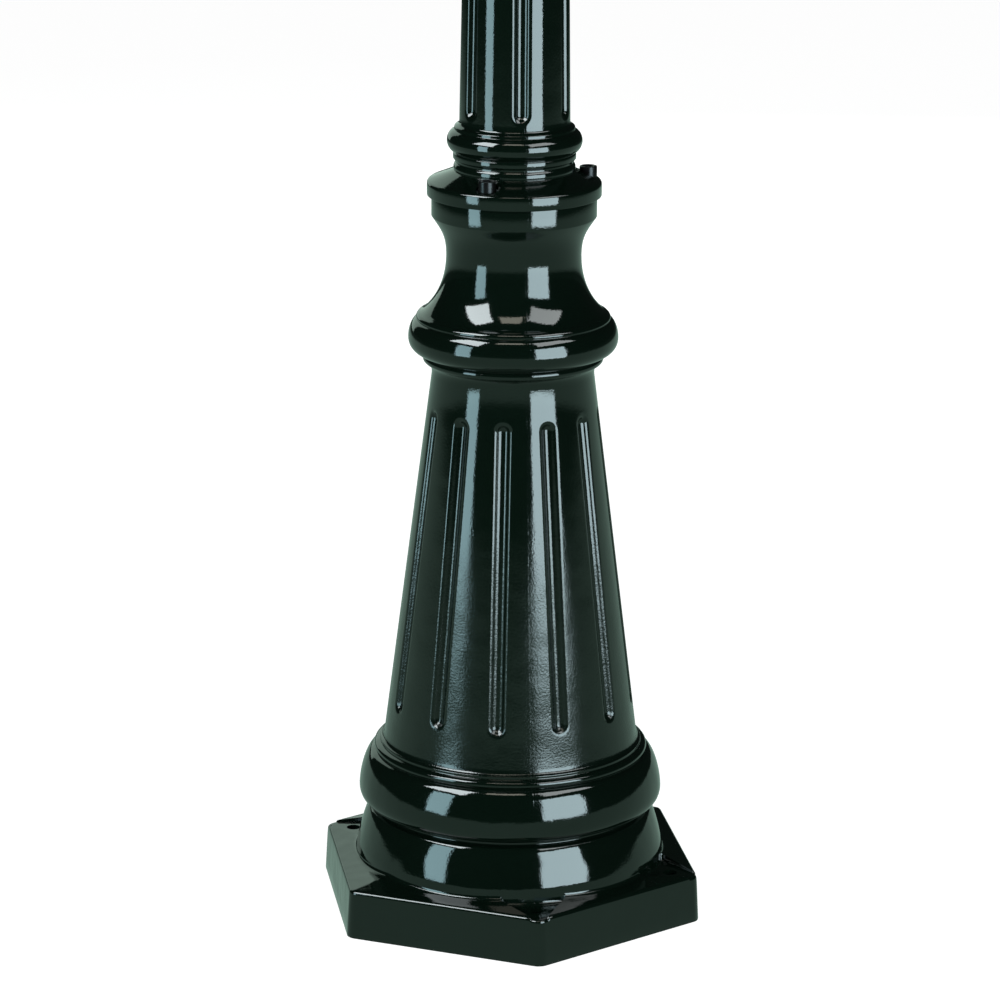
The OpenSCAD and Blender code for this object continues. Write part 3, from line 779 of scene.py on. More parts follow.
def cast_pedestal(post):
    """The pedestal casting: hexagonal plate, bell foot, mouldings, fluted cone and neck."""
    rows = pedestal_rows(post)
    bm = bmesh.new()
    row = bm.verts.layers.int.new("row")
    verts = []
    for index, (r, z, _) in enumerate(rows):
        vert = bm.verts.new((r, 0, z))
        vert[row] = index
        verts.append(vert)
    edges = [bm.edges.new(pair) for pair in zip(verts, verts[1:] + verts[:1])]
    columns = 12 * TWELFTH
    bmesh.ops.spin(bm, geom=verts + edges, cent=(0, 0, 0), axis=(0, 0, 1), dvec=(0, 0, 0),
                   angle=2 * math.pi, steps=columns, use_merge=True)
    for vert in bm.verts:
        column = round(math.atan2(vert.co.y, vert.co.x) / (2 * math.pi) * columns) % columns
        corner, i = divmod(column, 2 * TWELFTH)
        hand = 1
        if i > TWELFTH:
            corner, i, hand = corner + 1, 2 * TWELFTH - i, -1
        pad = pad_share(i) if corner % 6 in PAD_CORNERS else 0
        x, y, z = rows[vert[row]][2](i, pad)
        vert.co = turn(60 * corner) @ Vector((x, hand * y, z))
    bmesh.ops.recalc_face_normals(bm, faces=bm.faces)
    places = [turn(60 * k) @ shift(ANCHOR_R, 0, 0) for k in PAD_CORNERS]
    bosses = together(*(moved(rod(BOSS_R, 1, 38), at) for at in places))
    holes = together(*(moved(rod(ANCHOR_HOLE, -2, 60), at) for at in places))
    return cut_by(joined_to(bm, bosses), holes)


# ---------- shaft and its joints ----------

SHAFT = (50, 740, 34, SHAFT_TOP)  # radius and height at its foot, then at its top
SHAFT_FLUTES = 6
SHAFT_TURN = -2
SHAFT_FLUTES_LOW, SHAFT_FLUTES_HIGH = 744, SHAFT_TOP - 30
SCREW_R = 67.5
SCREW_TURN = 90
SCREW_SEAT_R = 10
FLANGE_SCREW_SIZE = (5, 32)  # radius and length of the shank
KNURL = 0.18


def shaft_section(post):
    """The shaft's closed section: spigot, flange, foot mouldings, fluted taper and bore."""
    heights = flute_heights(SHAFT_FLUTES_LOW, SHAFT_FLUTES_HIGH, 12)
    flange = drawn((41, 600), (50, 600), (50, PEDESTAL_TOP), (79.1, PEDESTAL_TOP),
                   (79.1, FLANGE_TOP - 3.5),
                   Bend((79.1, FLANGE_TOP - 1.6), (78.2, FLANGE_TOP - 0.4), (76.6, FLANGE_TOP), 5),
                   (54.6, FLANGE_RISE),
                   Bend((55.8, FLANGE_RISE + 1.5), (55.2, 702), (53.2, 703), 6))
    mouldings = drawn((53.2, 705.5), (55.6, 706.5), (55.6, 711.5), (54.6, 712.5),
                      Bend((58, 714), (61.2, 718), (61.2, 722.5), 7),
                      Bend((61.2, 727.5), (58.5, 731.5), (54.5, 732.8), 7), (54.5, 735.6), (53.2, 736.6),
                      Bend((51, 737.4), (50.2, 738.2), (50, 740.5), 5))
    column = [(taper(z, *SHAFT), z) for z in heights[1:]]
    spigot = [(34, SHAFT_TOP), (30, SHAFT_TOP), (30, SHAFT_TOP + 40)]
    bore = [(22, SHAFT_TOP + 40), (22, SHAFT_TOP), (25, SHAFT_TOP - 20), (41, 740)]
    return softened(flange + mouldings + column + spigot, post.moulding_edge / MM) + bore


def cast_shaft(post):
    """The shaft casting, with its flutes sunk into a spun section."""
    bm = spun(shaft_section(post), SHAFT_FLUTES * 2 * HALF_COLUMNS)
    sector = 2 * math.pi / SHAFT_FLUTES
    reach = post.flute_width / MM / 2
    for vert in bm.verts:
        angle = math.atan2(vert.co.y, vert.co.x)
        flute = math.floor(angle / sector + 0.5)
        j = round((angle / sector - flute) * 2 * HALF_COLUMNS)
        r, z = math.hypot(vert.co.x, vert.co.y), vert.co.z
        outer = taper(min(max(z, SHAFT[1]), SHAFT[3]), *SHAFT)
        bend = column_angle(j, sector / 2, outer)
        if SHAFT_FLUTES_LOW < z < SHAFT_FLUTES_HIGH and r > outer - 1:
            along = max(SHAFT_FLUTES_LOW + reach - z, z - SHAFT_FLUTES_HIGH + reach, 0)
            r -= flute_depth(math.hypot(r * math.sin(bend), along), post)
        angle = flute * sector + bend + math.radians(SHAFT_TURN)
        vert.co = (r * math.cos(angle), r * math.sin(angle), z)
    bmesh.ops.recalc_face_normals(bm, faces=bm.faces)
    seats = (moved(rod(SCREW_SEAT_R, SCREW_SEAT, SCREW_SEAT + 20), at) for at in screw_places())
    return cut_by(bm, together(*seats))


def screw_places():
    return [turn(SCREW_TURN + 120 * k) @ shift(SCREW_R, 0, 0) for k in range(3)]


def cap_screw(m, shank, steps=48):
    """A socket-head cap screw of nominal radius m: chamfered, knurled head above z = 0, shank below."""
    head, high, key = 1.6 * m, 2 * m, 0.95 * m
    bm = spun([(0, -shank), (m - 0.6, -shank), (m, 0.6 - shank), (m, 0), (head - 0.3, 0), (head, 0.3),
               (head, high - 0.9), (head - 0.3, high - 0.25), (head - 0.9, high), (key + 0.4, high),
               (key, high - 0.4), (key, 0.9 * m), (0, 0.7 * m)], steps, closed=False)
    made_hexagonal(bm, lambda r, z: z > 0.8 * m and 0.5 * key < r < key + 0.2)
    for vert in bm.verts:
        r, angle = math.hypot(vert.co.x, vert.co.y), math.atan2(vert.co.y, vert.co.x)
        if abs(r - head) < 0.01 and 0.2 < vert.co.z < high - 0.5:
            r -= KNURL * (round(angle / (2 * math.pi) * steps) % 2)
            vert.co.x, vert.co.y = r * math.cos(angle), r * math.sin(angle)
    return bm


def flange_screws():
    level = shift(0, 0, SCREW_SEAT)
    return together(*(moved(cap_screw(*FLANGE_SCREW_SIZE), level @ at) for at in screw_places()))


# ---------- capital and saddle ----------

SADDLE_PLATE = 12
SADDLE_HALF = 24
CRADLE_X = 118
BOLT_X, BOLT_Y = 34, 40
SADDLE_BOLT_SIZE = (4, 28)  # radius and length of the shank
CABLE_WAY_R = 18


def cast_capital():
    """The capital casting: necking bead, bell and round abacus, bored for the spigot and the cable."""
    c = SHAFT_TOP
    points = drawn((30, c), (37, c), (37, c + 4),
                   Bend((43, c + 4), (43, c + 15), (37, c + 15)), (37, c + 34),
                   Bend((38, c + 62), (48, c + 74), (66, c + 80), 14),
                   Bend((72, c + 82), (72, c + 90), (66, c + 90), 8), (66, c + 93), (70, c + 93),
                   (70, CAPITAL_TOP), (22, CAPITAL_TOP))
    bm = spun(softened(points, 1.0) + [(22, c + 40), (30, c + 40)], 144)
    level = shift(0, 0, c + 20)
    holes = [moved(rod(4, 20, 60, 32), level @ turn(120 * k) @ turn(90, "Y")) for k in range(3)]
    holes += [moved(rod(4, CAPITAL_TOP - 18, CAPITAL_TOP + 2, 32), at) for at in bolt_places()]
    return cut_by(bm, together(*holes))


def bolt_places():
    return [shift(x, y, 0) for x in (-BOLT_X, BOLT_X) for y in (-BOLT_Y, BOLT_Y)]


def cast_saddle():
    """The cradle casting under the drum, on its round plate."""
    low = CAPITAL_TOP + SADDLE_PLATE
    rim = math.sqrt(CASE_R**2 - CRADLE_X**2)
    right = drawn((34, low - 3), (34, low),
                  Bend((34, DIAL_Z - 268), (88, DIAL_Z - 262), (124, DIAL_Z - 232), 16),
                  (CRADLE_X, DIAL_Z - rim))
    arc = math.asin(CRADLE_X / CASE_R)
    angles = [arc * t / 16 for t in range(15, -16, -1)]
    cradle = [(CASE_R * math.sin(a), DIAL_Z - CASE_R * math.cos(a)) for a in angles]
    outline = right + cradle + [(-x, z) for x, z in reversed(right)]
    web = extruded(outline, -SADDLE_HALF, SADDLE_HALF)
    bevelled(web, 1.5, 3, over=30)
    web = moved(web, turn(90, "X"))
    section = softened([(0, CAPITAL_TOP), (62, CAPITAL_TOP), (62, low), (0, low)], 2)
    plate = spun(section, 144, closed=False)
    holes = [moved(rod(4.5, CAPITAL_TOP - 2, low + 2, 32), at) for at in bolt_places()]
    holes.append(rod(CABLE_WAY_R, CAPITAL_TOP - 2, DIAL_Z - CASE_R + 4))
    return cut_by(joined_to(web, plate), together(*holes))


def capital_bolts():
    level = shift(0, 0, CAPITAL_TOP + SADDLE_PLATE)
    return together(*(moved(cap_screw(*SADDLE_BOLT_SIZE), level @ at) for at in bolt_places()))


# ---------- clock case ----------

KNUCKLE_R = 8
PIN_R = 4
LUG_LOW, LUG_HIGH = 22, 46
STUD_HOLE_R = 6


def knuckle(low, high, web_low, web_high, reach, bore, edge):
    """A hinge knuckle with a web that reaches back to the rim, and the tool that bores it."""
    section = softened([(0, low), (KNUCKLE_R, low), (KNUCKLE_R, high), (0, high)], 0.8)
    barrel = spun(section, 64, closed=False)
    upright = shift(HINGE_X, 0, CASE_HALF) @ turn(-90, "X")
    web = block((HINGE_X, low, web_low), (HINGE_X + reach, high, web_high), edge)
    return joined_to(moved(barrel, upright), web), moved(rod(bore, low - 2, high + 2), upright)


def formed_drum(head):
    """The drum with its stiffening beads, inner lips, hinge lugs and lock bosses."""
    edge = head.edge / MM
    half = [(245, 60), (248, 61), (248, 67), (245, 68), (245, 70), (232, 70), (232, 67), (242, 67)]
    whole = [(242, 0), (245, 0)] + half + [(242, 0)]
    upper = softened(whole, 0.7)[1:-1]
    lower = [(r, -u) for r, u in reversed(upper[1:])]
    bm = spun(upper + lower, 288)
    tools = []
    for side in SIDES.values():
        back = turn(180, "Y") if side == REAR else Matrix.Identity(4)
        for low in (LUG_LOW, -LUG_HIGH):
            lug, bore = knuckle(low, low + LUG_HIGH - LUG_LOW, CASE_HALF - 18, CASE_HALF - 0.5,
                                -HINGE_X - CASE_R + 1.5, PIN_R + 0.02, edge)
            bm = joined_to(bm, moved(lug, back))
            tools.append(moved(bore, back))
        boss = spun(softened([(0, 56), (5.5, 56), (5.5, 69.5), (0, 69.5)], 0.6), 48, closed=False)
        bm = joined_to(bm, moved(boss, back @ shift(LOCK_X - 3, 0, 0)))
        tools.append(moved(rod(3, 58, 74, 32), back @ shift(LOCK_X, 0, 0)))
    bm = cut_by(bm, together(*tools))
    upright = turn(-90, "X")
    stud_hole = moved(rod(STUD_HOLE_R, CASE_R - 15, CASE_R + 15, 32), upright)
    cable_way = moved(rod(CABLE_WAY_R, -CASE_R - 15, 15 - CASE_R), upright)
    return moved(cut_by(bm, together(stud_hole, cable_way)), on_dial(FRONT))


def moulded_bezel(head):
    """A bezel in its dial's frame: moulded front, glass seat, hinge knuckle and lock boss."""
    edge = head.edge / MM
    points = drawn((BEZEL_R, BEZEL_U), (BEZEL_R, 80),
                   Bend((BEZEL_R, 87), (248, 91), (238, 92)),
                   Bend((228, 92), (224, 87), (SIGHT_R, 86.5), 12),
                   (SIGHT_R, 83.5), (223.2, 83.5), (223.2, 75), (228, 75), (228, BEZEL_U), (232, BEZEL_U),
                   (232, 84), (250, 84), (250, BEZEL_U), (BEZEL_R, BEZEL_U))
    bm = spun(softened(points, 0.7)[1:], 288)
    hinge, bore = knuckle(0.5 - LUG_LOW, LUG_LOW - 0.5, BEZEL_U + 0.5, 83, -HINGE_X - BEZEL_R + 2.5,
                          PIN_R + 0.05, edge)
    boss = spun(softened([(0, BEZEL_U), (8, BEZEL_U), (8, 86.5), (0, 86.5)], 0.6), 64, closed=False)
    bm = joined_to(joined_to(bm, hinge), moved(boss, shift(LOCK_X, 0, 0)))
    seat = [moved(rod(3.05, 60, 100, 32), shift(LOCK_X, 0, 0)), bore]
    return cut_by(cut_by(bm, together(*seat)), moved(rod(6.5, 90, 100), shift(LOCK_X, 0, 0)))


def hinge_pin():
    """A bezel's hinge pin: chamfered below, with a low round head."""
    points = drawn((0, -48), (3.2, -48), (4, -47.2), (4, 46), (5.4, 46), (6, 46.6), (6, 48),
                   Bend((5.6, 49.4), (3, 49.5), (0, 49.5), 6))
    return moved(spun(points, 48, closed=False), shift(HINGE_X, 0, CASE_HALF) @ turn(-90, "X"))


def lock_screw():
    """The bezel's captive screw: domed head with a hexagon socket, and its shank."""
    points = drawn((0, -19), (2.4, -19), (3, -18.4), (3, 0), (5.7, 0), (6, 0.3), (6, 3.2),
                   Bend((5.7, 4.4), (4.6, 5), (3.2, 5), 5), (2.6, 4.7), (2.6, 2.6), (0, 2.3))
    bm = made_hexagonal(spun(points, 48, closed=False), lambda r, z: z > 2.5 and 1 < r < 2.7)
    return moved(bm, shift(LOCK_X, 0, LOCK_U))


def turned_finial_base():
    """The finial's round base, cut to sit on the drum."""
    low = DIAL_Z + CASE_R - 8
    points = drawn((0, low), (40, low), (40, low + 10),
                   Bend((36, low + 16), (30, low + 16), (28, low + 24)), (0, low + 24))
    bm = spun(softened(points, 1.0), 144, closed=False)
    drum = moved(rod(CASE_R + 0.05, -80, 80, 288), shift(0, 0, DIAL_Z) @ turn(90, "X"))
    return cut_by(cut_by(bm, drum), rod(6.1, low - 5, low + 30))


def turned_finial():
    """The finial: base bead, bulb and spike, on its stud."""
    z = FINIAL_Z
    points = drawn((0, z - 40), (5.4, z - 40), (6, z - 39.4), (6, z), (24, z),
                   Bend((28, z + 1), (28, z + 8), (24, z + 9), 8),
                   Bend((12, z + 10), (10, z + 16), (11, z + 24)),
                   Bend((33, z + 30), (33, z + 62), (15, z + 74), 20),
                   Bend((7, z + 84), (5, z + 104), (3, z + 127), 14),
                   Bend((2.8, z + 129), (1.6, z + 130), (0, z + 130), 4))
    return spun(points, 96, closed=False)


# ---------- dials ----------

NUMERALS = ("XII", "I", "II", "III", "IIII", "V", "VI", "VII", "VIII", "IX", "X", "XI")
NUMERAL_LOW, NUMERAL_HIGH = 150, 188
MARK_TOP = FACE_U + 0.6
LETTER_WIDTHS = {"I": 9.8, "V": 21, "X": 21}


def stroke(x0, y0, x1, y1, width):
    """A slanting stroke with level ends."""
    half = width / 2
    outline = [(x0 - half, y0), (x0 + half, y0), (x1 + half, y1), (x1 - half, y1)]
    return extruded(outline, FACE_U, MARK_TOP)


def letter(kind, x, head):
    """Thick strokes, thin strokes and serifs of one letter that starts at x."""
    thick, thin, serif = (s / MM for s in (head.thick_stroke, head.thin_stroke, head.serif))
    low, high, wide = NUMERAL_LOW, NUMERAL_HIGH, LETTER_WIDTHS[kind]
    left, right, middle = x + 5, x + wide - 4, x + wide / 2
    if kind == "I":
        feet = [(middle, low, 9), (middle, high, 9)]
        thicks, thins = [stroke(middle, low, middle, high, thick)], []
    elif kind == "V":
        feet = [(left, high, 9), (right, high, 7)]
        thicks = [stroke(middle, low, left, high, thick)]
        thins = [stroke(middle + 0.6, low, right, high, thin)]
    else:
        feet = [(left, high, 9), (right, high, 7), (left, low, 7), (right, low, 9)]
        thicks = [stroke(right, low, left, high, thick)]
        thins = [stroke(left, low, right, high, thin)]
    bars = []
    for at, y, width in feet:
        inward = serif if y == low else -serif
        bars.append(extruded([(at - width / 2, y), (at + width / 2, y), (at + width / 2, y + inward),
                              (at - width / 2, y + inward)], FACE_U, MARK_TOP))
    return thicks, thins, bars


def hour_numerals(head):
    """The twelve numerals of a dial, upright towards its rim."""
    layers = ([], [], [])
    for hour, numeral in enumerate(NUMERALS):
        x = -sum(LETTER_WIDTHS[kind] for kind in numeral) / 2
        for kind in numeral:
            for layer, strokes in zip(layers, letter(kind, x, head)):
                layer.extend(moved(bm, turn(-30 * hour)) for bm in strokes)
            x += LETTER_WIDTHS[kind]
    thick, thin, serifs = (together(*layer) for layer in layers)
    return joined_to(joined_to(thick, thin), serifs)


def minute_track(head):
    """Two fine rings with a bar at each minute between them, wider at the hours."""
    inner, outer = head.track_in / MM, head.track_out / MM
    columns, line = 720, 0.9
    bm = bmesh.new()
    radii = (inner, inner + line, outer - line, outer)
    verts = [bm.verts.new((0, r, FACE_U)) for r in radii]
    edges = [bm.edges.new(pair) for pair in zip(verts, verts[1:])]
    bmesh.ops.spin(bm, geom=verts + edges, cent=(0, 0, 0), axis=(0, 0, 1), dvec=(0, 0, 0),
                   angle=2 * math.pi, steps=columns, use_merge=True)
    gaps = []
    for face in bm.faces:
        middle = face.calc_center_median()
        if not radii[1] < math.hypot(middle.x, middle.y) < radii[2]:
            continue
        step = math.degrees(math.atan2(middle.x, middle.y)) % 30
        from_hour = min(step, 30 - step)
        from_minute = min(step % 6, 6 - step % 6)
        if from_minute > 0.5 and from_hour > 1.0:
            gaps.append(face)
    bmesh.ops.delete(bm, geom=gaps, context="FACES")
    raised = bmesh.ops.extrude_face_region(bm, geom=bm.faces[:], use_keep_orig=True)
    bmesh.ops.translate(bm, vec=(0, 0, MARK_TOP - FACE_U),
                        verts=[v for v in raised["geom"] if isinstance(v, bmesh.types.BMVert)])
    bmesh.ops.recalc_face_normals(bm, faces=bm.faces)
    return bm


# ---------- hands ----------

HAND_T = 3
HOUR_HAND = {"long": 134, "width": 17, "tail": 38, "hub": 15, "bore": 6, "u": 56}
MINUTE_HAND = {"long": 188, "width": 13, "tail": 54, "hub": 12, "bore": 4, "u": 63}
REST_HOUR, REST_MINUTE = 10, 8


def clock_hand(long, width, tail, hub, bore, u, angle, edge):
    """A flat hand with a pointed blade, a hub and a round counterweight, its edges bevelled."""
    blade = extruded([(-width / 3, -tail), (-width / 3, 0), (-width / 2, long * 0.62), (0, long),
                      (width / 2, long * 0.62), (width / 3, 0), (width / 3, -tail)][::-1], u, u + HAND_T)
    disc = moved(rod(width * 1.1, u, u + HAND_T, 64), shift(0, -tail, 0))
    bm = joined_to(joined_to(blade, rod(hub, u, u + HAND_T, 64)), disc)
    bevelled(bm, edge * 0.7, over=50, only=lambda e: abs(e.verts[0].co.z - e.verts[1].co.z) < 0.1)
    return moved(cut_by(bm, rod(bore, u - 2, u + HAND_T + 2)), turn(-angle))


def domed_nut():
    """A domed cap nut: hexagon below, dome above."""
    points = drawn((0, 71), (4, 71), (4, 66), (8.2, 66), (9, 66.6), (9, 69), (8.2, 69.6), (7.4, 69.7),
                   Bend((7.2, 72), (4.5, 73), (0, 73)))
    return made_hexagonal(spun(points, 48, closed=False), lambda r, z: r > 8.9 and z < 69.5, least=7.8)


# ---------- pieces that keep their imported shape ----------

KEPT = {
    "green_paint": ("front_dial_ring", "rear_dial_ring"),
    "black_steel": ("capital_set_screws",),
    "zinc_steel": ("saddle_bolts", "dial_screws", "movement_bridge", "bridge_screws", "power_supply",
                   "finial_nut", "front_glass_clips", "rear_glass_clips", "front_minute_arbor",
                   "rear_minute_arbor"),
    "brass": ("movement_nuts", "front_hour_pipe", "rear_hour_pipe"),
    "opal_dial": ("front_dial", "rear_dial"),
    "grey_plastic": ("front_movement", "rear_movement"),
    "lamp_cover": ("light_bars",),
    "pane": ("front_glass", "rear_glass"),
    "gasket_rubber": ("front_gasket", "rear_gasket"),
}


def dress(node, finish):
    """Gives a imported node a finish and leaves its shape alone."""
    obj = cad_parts[node]
    if not obj.material_slots:
        obj.data.materials.append(finish_of(finish))
    for slot in obj.material_slots:
        slot.material = finish_of(finish)


# ---------- stage ----------


# The paper's colour where it lights the pieces, and where it shows in their gloss
WARM_PAPER, GREEN_PAPER = (0.72, 0.7, 0.66, 1), (0.66, 1, 0.84, 1)
# Each mirror lamp: angle round the post, distance, width, lowest and highest edge, share of its
# group's brightness, and colour
SOFTBOXES = {
    "wide_box": {"wide_softbox": (-87.5, 2.2, 1.37, 0.1, 1.55, 1, (0.72, 0.94, 1.0))},
    "narrow_box": {"narrow_softbox": (-184.3, 2.2, 0.66, 0.1, 1.55, 1, (0.58, 0.92, 1.0))},
    "high_boxes": {
        "high_wide_box": (-72, 2.2, 2.2, 2.3, 4.6, 0.4, (0.93, 1.0, 1.0)),
        "high_narrow_box": (-190, 2.2, 1.6, 1.95, 4.6, 1, (0.88, 0.98, 1.0)),
        "high_front_card": (-133, 2.0, 1.6, 3.4, 5.2, 0.25, (1.0, 0.97, 0.82)),
    },
    "back_card": {"back_card": (70, 4.5, 3.0, 0.4, 3.4, 1, (0.74, 1, 0.86))},
}
# Angles of the panels that light the dials and the floor but show in no mirror, and their place
FILL_ANGLES = (-90, -185, 50)
FILL_PLACE = (4.0, 3.0, 0.4, 3.4)


def floor_paper():
    """White paper to the eye; to the pieces a sheet that is pale near the post and dark further off."""
    paper = Finish("floor_paper", (0.3, 0.3, 0.3), Roughness=0.9)
    nodes = paper.tree.nodes
    far = paper.node("ShaderNodeVectorMath", {"operation": "LENGTH"}, {0: paper.place}, "Value")
    glow = 0.03 + (1 - paper.between(far, 3.2, 5.8)) * 0.4
    path = nodes.new("ShaderNodeLightPath")
    sheen = paper.node("ShaderNodeMix", {"data_type": "RGBA"},
                       {0: path.outputs["Is Glossy Ray"], 6: WARM_PAPER, 7: GREEN_PAPER}, 2)
    reflected = paper.node("ShaderNodeEmission", {}, {"Color": sheen, "Strength": glow})
    white = paper.node("ShaderNodeEmission", {}, {"Strength": 0.96})
    seen = paper.node("ShaderNodeAddShader", {}, {0: white, 1: paper.shader.outputs[0]})
    shaders = {0: path.outputs["Is Camera Ray"], 1: reflected, 2: seen}
    surface = paper.node("ShaderNodeMixShader", {}, shaders)
    paper.plug(surface, nodes["Material Output"].inputs["Surface"])
    return paper.material


def pale_floor(size):
    """A plain pale floor, a little bright of itself so that it meets the backdrop without an edge."""
    bm = bmesh.new()
    bmesh.ops.create_grid(bm, x_segments=1, y_segments=1, size=size / 2)
    mesh = bpy.data.meshes.new("floor")
    bm.to_mesh(mesh)
    bm.free()
    floor = bpy.data.objects.new("floor", mesh)
    bpy.context.scene.collection.objects.link(floor)
    mesh.materials.append(floor_paper())


def pale_backdrop():
    """A backdrop that is white to the eye and dim in the paint's reflections."""
    world = bpy.data.worlds.new("backdrop")
    bpy.context.scene.world = world
    world.use_nodes = True
    nodes, links = world.node_tree.nodes, world.node_tree.links
    seen = nodes.new("ShaderNodeLightPath")
    dim, bright = nodes["Background"], nodes.new("ShaderNodeBackground")
    dim.inputs["Color"].default_value = (0.8, 0.9, 0.88, 1)
    dim.inputs["Strength"].default_value = 0.012
    bright.inputs["Color"].default_value = (0.98, 0.98, 0.98, 1)
    mix = nodes.new("ShaderNodeMixShader")
    links.new(seen.outputs["Is Camera Ray"], mix.inputs[0])
    links.new(dim.outputs[0], mix.inputs[1])
    links.new(bright.outputs[0], mix.inputs[2])
    links.new(mix.outputs[0], nodes["World Output"].inputs["Surface"])


def softbox(name, angle, distance, wide, low, high, brightness, tone, mirrored=True):
    """An upright lamp panel round the post that only shows in gloss, or only lights what is matt."""
    lamp = bpy.data.lights.new(name, "AREA")
    lamp.shape, lamp.size, lamp.size_y = "RECTANGLE", wide, high - low
    lamp.color = tone
    lamp.energy = brightness * math.pi * wide * (high - low)
    obj = bpy.data.objects.new(name, lamp)
    obj.location = (distance * math.cos(math.radians(angle)), distance * math.sin(math.radians(angle)),
                    (low + high) / 2)
    obj.rotation_euler = (math.radians(90), 0, math.radians(angle + 90))
    obj.visible_camera = False
    obj.visible_glossy = mirrored
    obj.visible_diffuse = not mirrored
    bpy.context.scene.collection.objects.link(obj)


def studio_camera(stage):
    """The camera, a little under eye level and tilted down to the post's foot."""
    data = bpy.data.cameras.new("camera")
    data.lens, data.sensor_width = stage.lens, 36
    camera = bpy.data.objects.new("camera", data)
    heading = turn(stage.camera_turn)
    spot = heading @ Vector((0, -stage.camera_distance, stage.camera_height))
    level = turn(stage.camera_turn + stage.camera_yaw)
    aim = level @ turn(90 - stage.camera_pitch, "X") @ turn(stage.camera_roll)
    camera.matrix_world = Matrix.Translation(spot) @ aim
    bpy.context.scene.collection.objects.link(camera)
    bpy.context.scene.camera = camera


# ---------- operators ----------

# Angle in degrees over which an edge of a large casting is drawn sharp
SHARP_CASTING = 42


class CLOCK_OT_pedestal(bpy.types.Operator):
    """Makes the pedestal casting"""

    bl_idname = "street_clock.pedestal"
    bl_label = "Pedestal"

    def execute(self, context):
        casting = cast_pedestal(context.scene.clock_post)
        add_piece("pedestal_casting", casting, "green_paint", "post", "pedestal", sharp=SHARP_CASTING)
        return {"FINISHED"}


class CLOCK_OT_shaft(bpy.types.Operator):
    """Makes the shaft casting"""

    bl_idname = "street_clock.shaft"
    bl_label = "Shaft"

    def execute(self, context):
        casting = cast_shaft(context.scene.clock_post)
        add_piece("shaft_casting", casting, "green_paint", "post", "shaft", sharp=SHARP_CASTING)
        return {"FINISHED"}


class CLOCK_OT_screws(bpy.types.Operator):
    """Makes the cap screws of the flange and of the capital"""

    bl_idname = "street_clock.screws"
    bl_label = "Cap screws"

    def execute(self, context):
        add_piece("flange_cap_screws", flange_screws(), "black_steel", "post", "flange_screws")
        add_piece("capital_cap_screws", capital_bolts(), "black_steel", "post", "capital_bolts")
        return {"FINISHED"}


class CLOCK_OT_capital(bpy.types.Operator):
    """Makes the capital and the saddle"""

    bl_idname = "street_clock.capital"
    bl_label = "Capital and saddle"

    def execute(self, context):
        add_piece("capital_casting", cast_capital(), "green_paint", "post", "capital")
        add_piece("saddle_casting", cast_saddle(), "green_paint", "post", "saddle")
        return {"FINISHED"}


class CLOCK_OT_case(bpy.types.Operator):
    """Makes the drum of the clock case"""

    bl_idname = "street_clock.case"
    bl_label = "Case drum"

    def execute(self, context):
        shell = formed_drum(context.scene.clock_head)
        add_piece("drum_shell", shell, "green_paint", "post", "case_drum")
        return {"FINISHED"}


class CLOCK_OT_doors(bpy.types.Operator):
    """Makes both bezels with their hinge pins and lock screws"""

    bl_idname = "street_clock.doors"
    bl_label = "Bezels"

    def execute(self, context):
        for name, side in SIDES.items():
            door, at = name + "_door", on_dial(side)
            ring = moved(moulded_bezel(context.scene.clock_head), at)
            cap, pin = moved(lock_screw(), at), moved(hinge_pin(), at)
            add_piece(name + "_bezel_ring", ring, "green_paint", door, name + "_bezel")
            add_piece(name + "_lock_cap", cap, "zinc_steel", door, name + "_lock_screw")
            add_piece(name + "_hinge_rod", pin, "zinc_steel", "post", name + "_hinge_pin")
        return {"FINISHED"}


class CLOCK_OT_finial(bpy.types.Operator):
    """Makes the finial and its base"""

    bl_idname = "street_clock.finial"
    bl_label = "Finial"

    def execute(self, context):
        add_piece("finial_seat", turned_finial_base(), "green_paint", "post", "finial_base")
        add_piece("finial_spike", turned_finial(), "green_paint", "post", "finial")
        return {"FINISHED"}


class CLOCK_OT_dials(bpy.types.Operator):
    """Makes the numerals and the minute track of both dials"""

    bl_idname = "street_clock.dials"
    bl_label = "Dial marks"

    def execute(self, context):
        head = context.scene.clock_head
        for name, side in SIDES.items():
            numerals, track = (moved(made(head), on_dial(side)) for made in (hour_numerals, minute_track))
            add_piece(name + "_numerals", numerals, "black_mark", "post", name + "_hour_marks")
            add_piece(name + "_minutes", track, "black_mark", "post", name + "_minute_track")
        return {"FINISHED"}


class CLOCK_OT_hands(bpy.types.Operator):
    """Makes the hands and their cap nuts"""

    bl_idname = "street_clock.hands"
    bl_label = "Hands"

    def execute(self, context):
        head = context.scene.clock_head
        minute_angle = 6 * REST_MINUTE
        hour_angle = 30 * (REST_HOUR + REST_MINUTE / 60)
        for name, side in SIDES.items():
            at = on_dial(side)
            hour = moved(clock_hand(**HOUR_HAND, angle=hour_angle, edge=head.edge / MM), at)
            minute = moved(clock_hand(**MINUTE_HAND, angle=minute_angle, edge=head.edge / MM), at)
            nut = moved(domed_nut(), at)
            add_piece(name + "_hour_blade", hour, "hand_black", name + "_hour", name + "_hour_hand")
            add_piece(name + "_minute_blade", minute, "hand_black", name + "_minute", name + "_minute_hand")
            add_piece(name + "_dome_nut", nut, "brass", name + "_minute", name + "_cap_nut")
        return {"FINISHED"}


class CLOCK_OT_inside(bpy.types.Operator):
    """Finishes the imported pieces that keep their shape"""

    bl_idname = "street_clock.inside"
    bl_label = "Inner pieces"

    def execute(self, context):
        for finish, nodes in KEPT.items():
            for node in nodes:
                dress(node, finish)
        return {"FINISHED"}


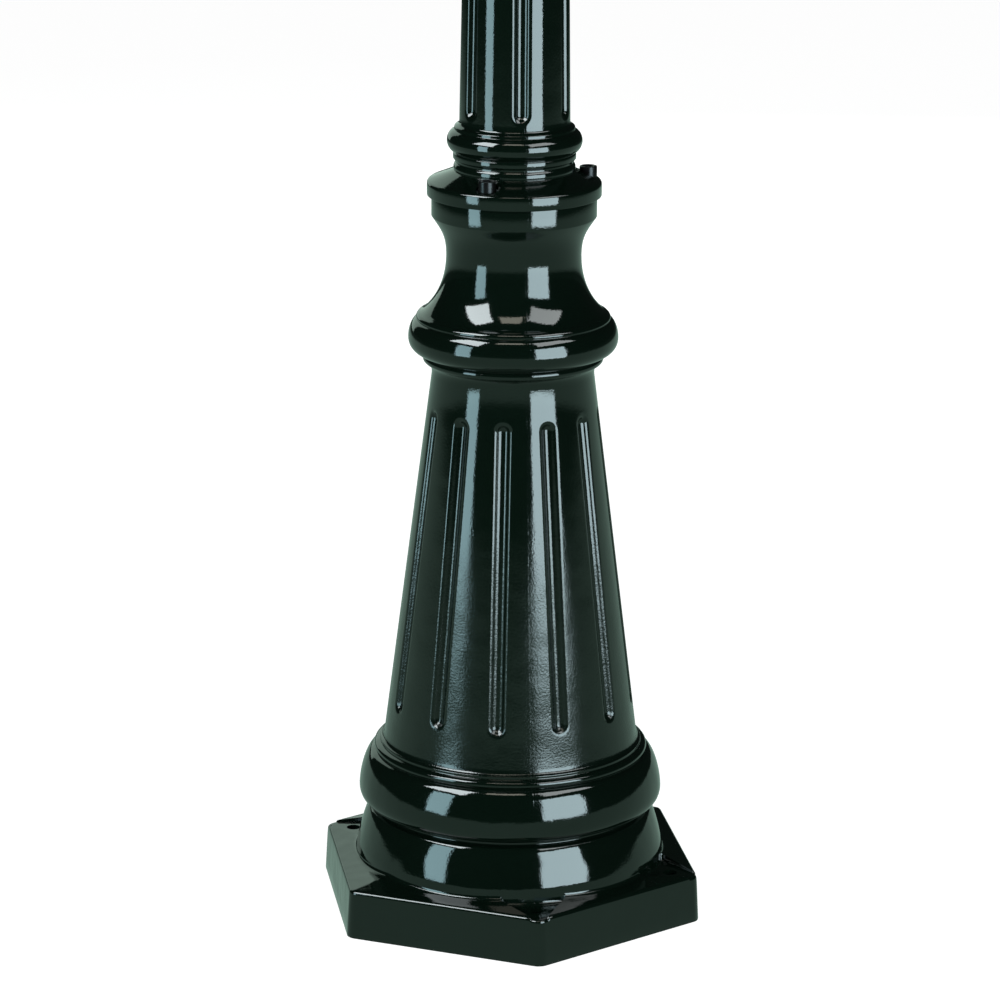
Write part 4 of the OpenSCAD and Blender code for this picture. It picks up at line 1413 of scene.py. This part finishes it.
class CLOCK_OT_stage(bpy.types.Operator):
    """Sets up the floor, the backdrop, the lamps and the camera"""

    bl_idname = "street_clock.stage"
    bl_label = "Stage"

    def execute(self, context):
        stage = context.scene.clock_stage
        context.scene.view_settings.view_transform = "Standard"
        pale_floor(stage.floor_size)
        pale_backdrop()
        for group, lamps in SOFTBOXES.items():
            for name, (*place, share, tone) in lamps.items():
                softbox(name, *place, getattr(stage, group) * share, tone)
        for angle in FILL_ANGLES:
            softbox(f"fill_{angle}", angle, *FILL_PLACE, stage.fill, (1, 1, 1), mirrored=False)
        studio_camera(stage)
        return {"FINISHED"}


OPERATORS = (CLOCK_OT_pedestal, CLOCK_OT_shaft, CLOCK_OT_screws, CLOCK_OT_capital, CLOCK_OT_case,
             CLOCK_OT_doors, CLOCK_OT_finial, CLOCK_OT_dials, CLOCK_OT_hands, CLOCK_OT_inside,
             CLOCK_OT_stage)
GROUPS = {
    "clock_post": PostSizes, "clock_head": HeadSizes, "clock_colours": Colours, "clock_stage": StageSizes,
}


class CLOCK_PT_panel(bpy.types.Panel):
    """Lists the clock's sizes, colours and operators"""

    bl_label = "Street clock"
    bl_idname = "CLOCK_PT_panel"
    bl_space_type = "VIEW_3D"
    bl_region_type = "UI"
    bl_category = "Street clock"

    def draw(self, context):
        for group, kind in GROUPS.items():
            box = self.layout.box()
            for name in kind.__annotations__:
                box.prop(getattr(context.scene, group), name)
        for operator in OPERATORS:
            self.layout.operator(operator.bl_idname)


def register():
    for kind in (*GROUPS.values(), *OPERATORS, CLOCK_PT_panel):
        bpy.utils.register_class(kind)
    for name, kind in GROUPS.items():
        setattr(bpy.types.Scene, name, PointerProperty(type=kind))


def unregister():
    for name in GROUPS:
        delattr(bpy.types.Scene, name)
    for kind in (CLOCK_PT_panel, *reversed(OPERATORS), *GROUPS.values()):
        bpy.utils.unregister_class(kind)


def main():
    register()
    for operator in OPERATORS:
        family, name = operator.bl_idname.split(".")
        getattr(getattr(bpy.ops, family), name)()


if __name__ == "__main__":
    main()
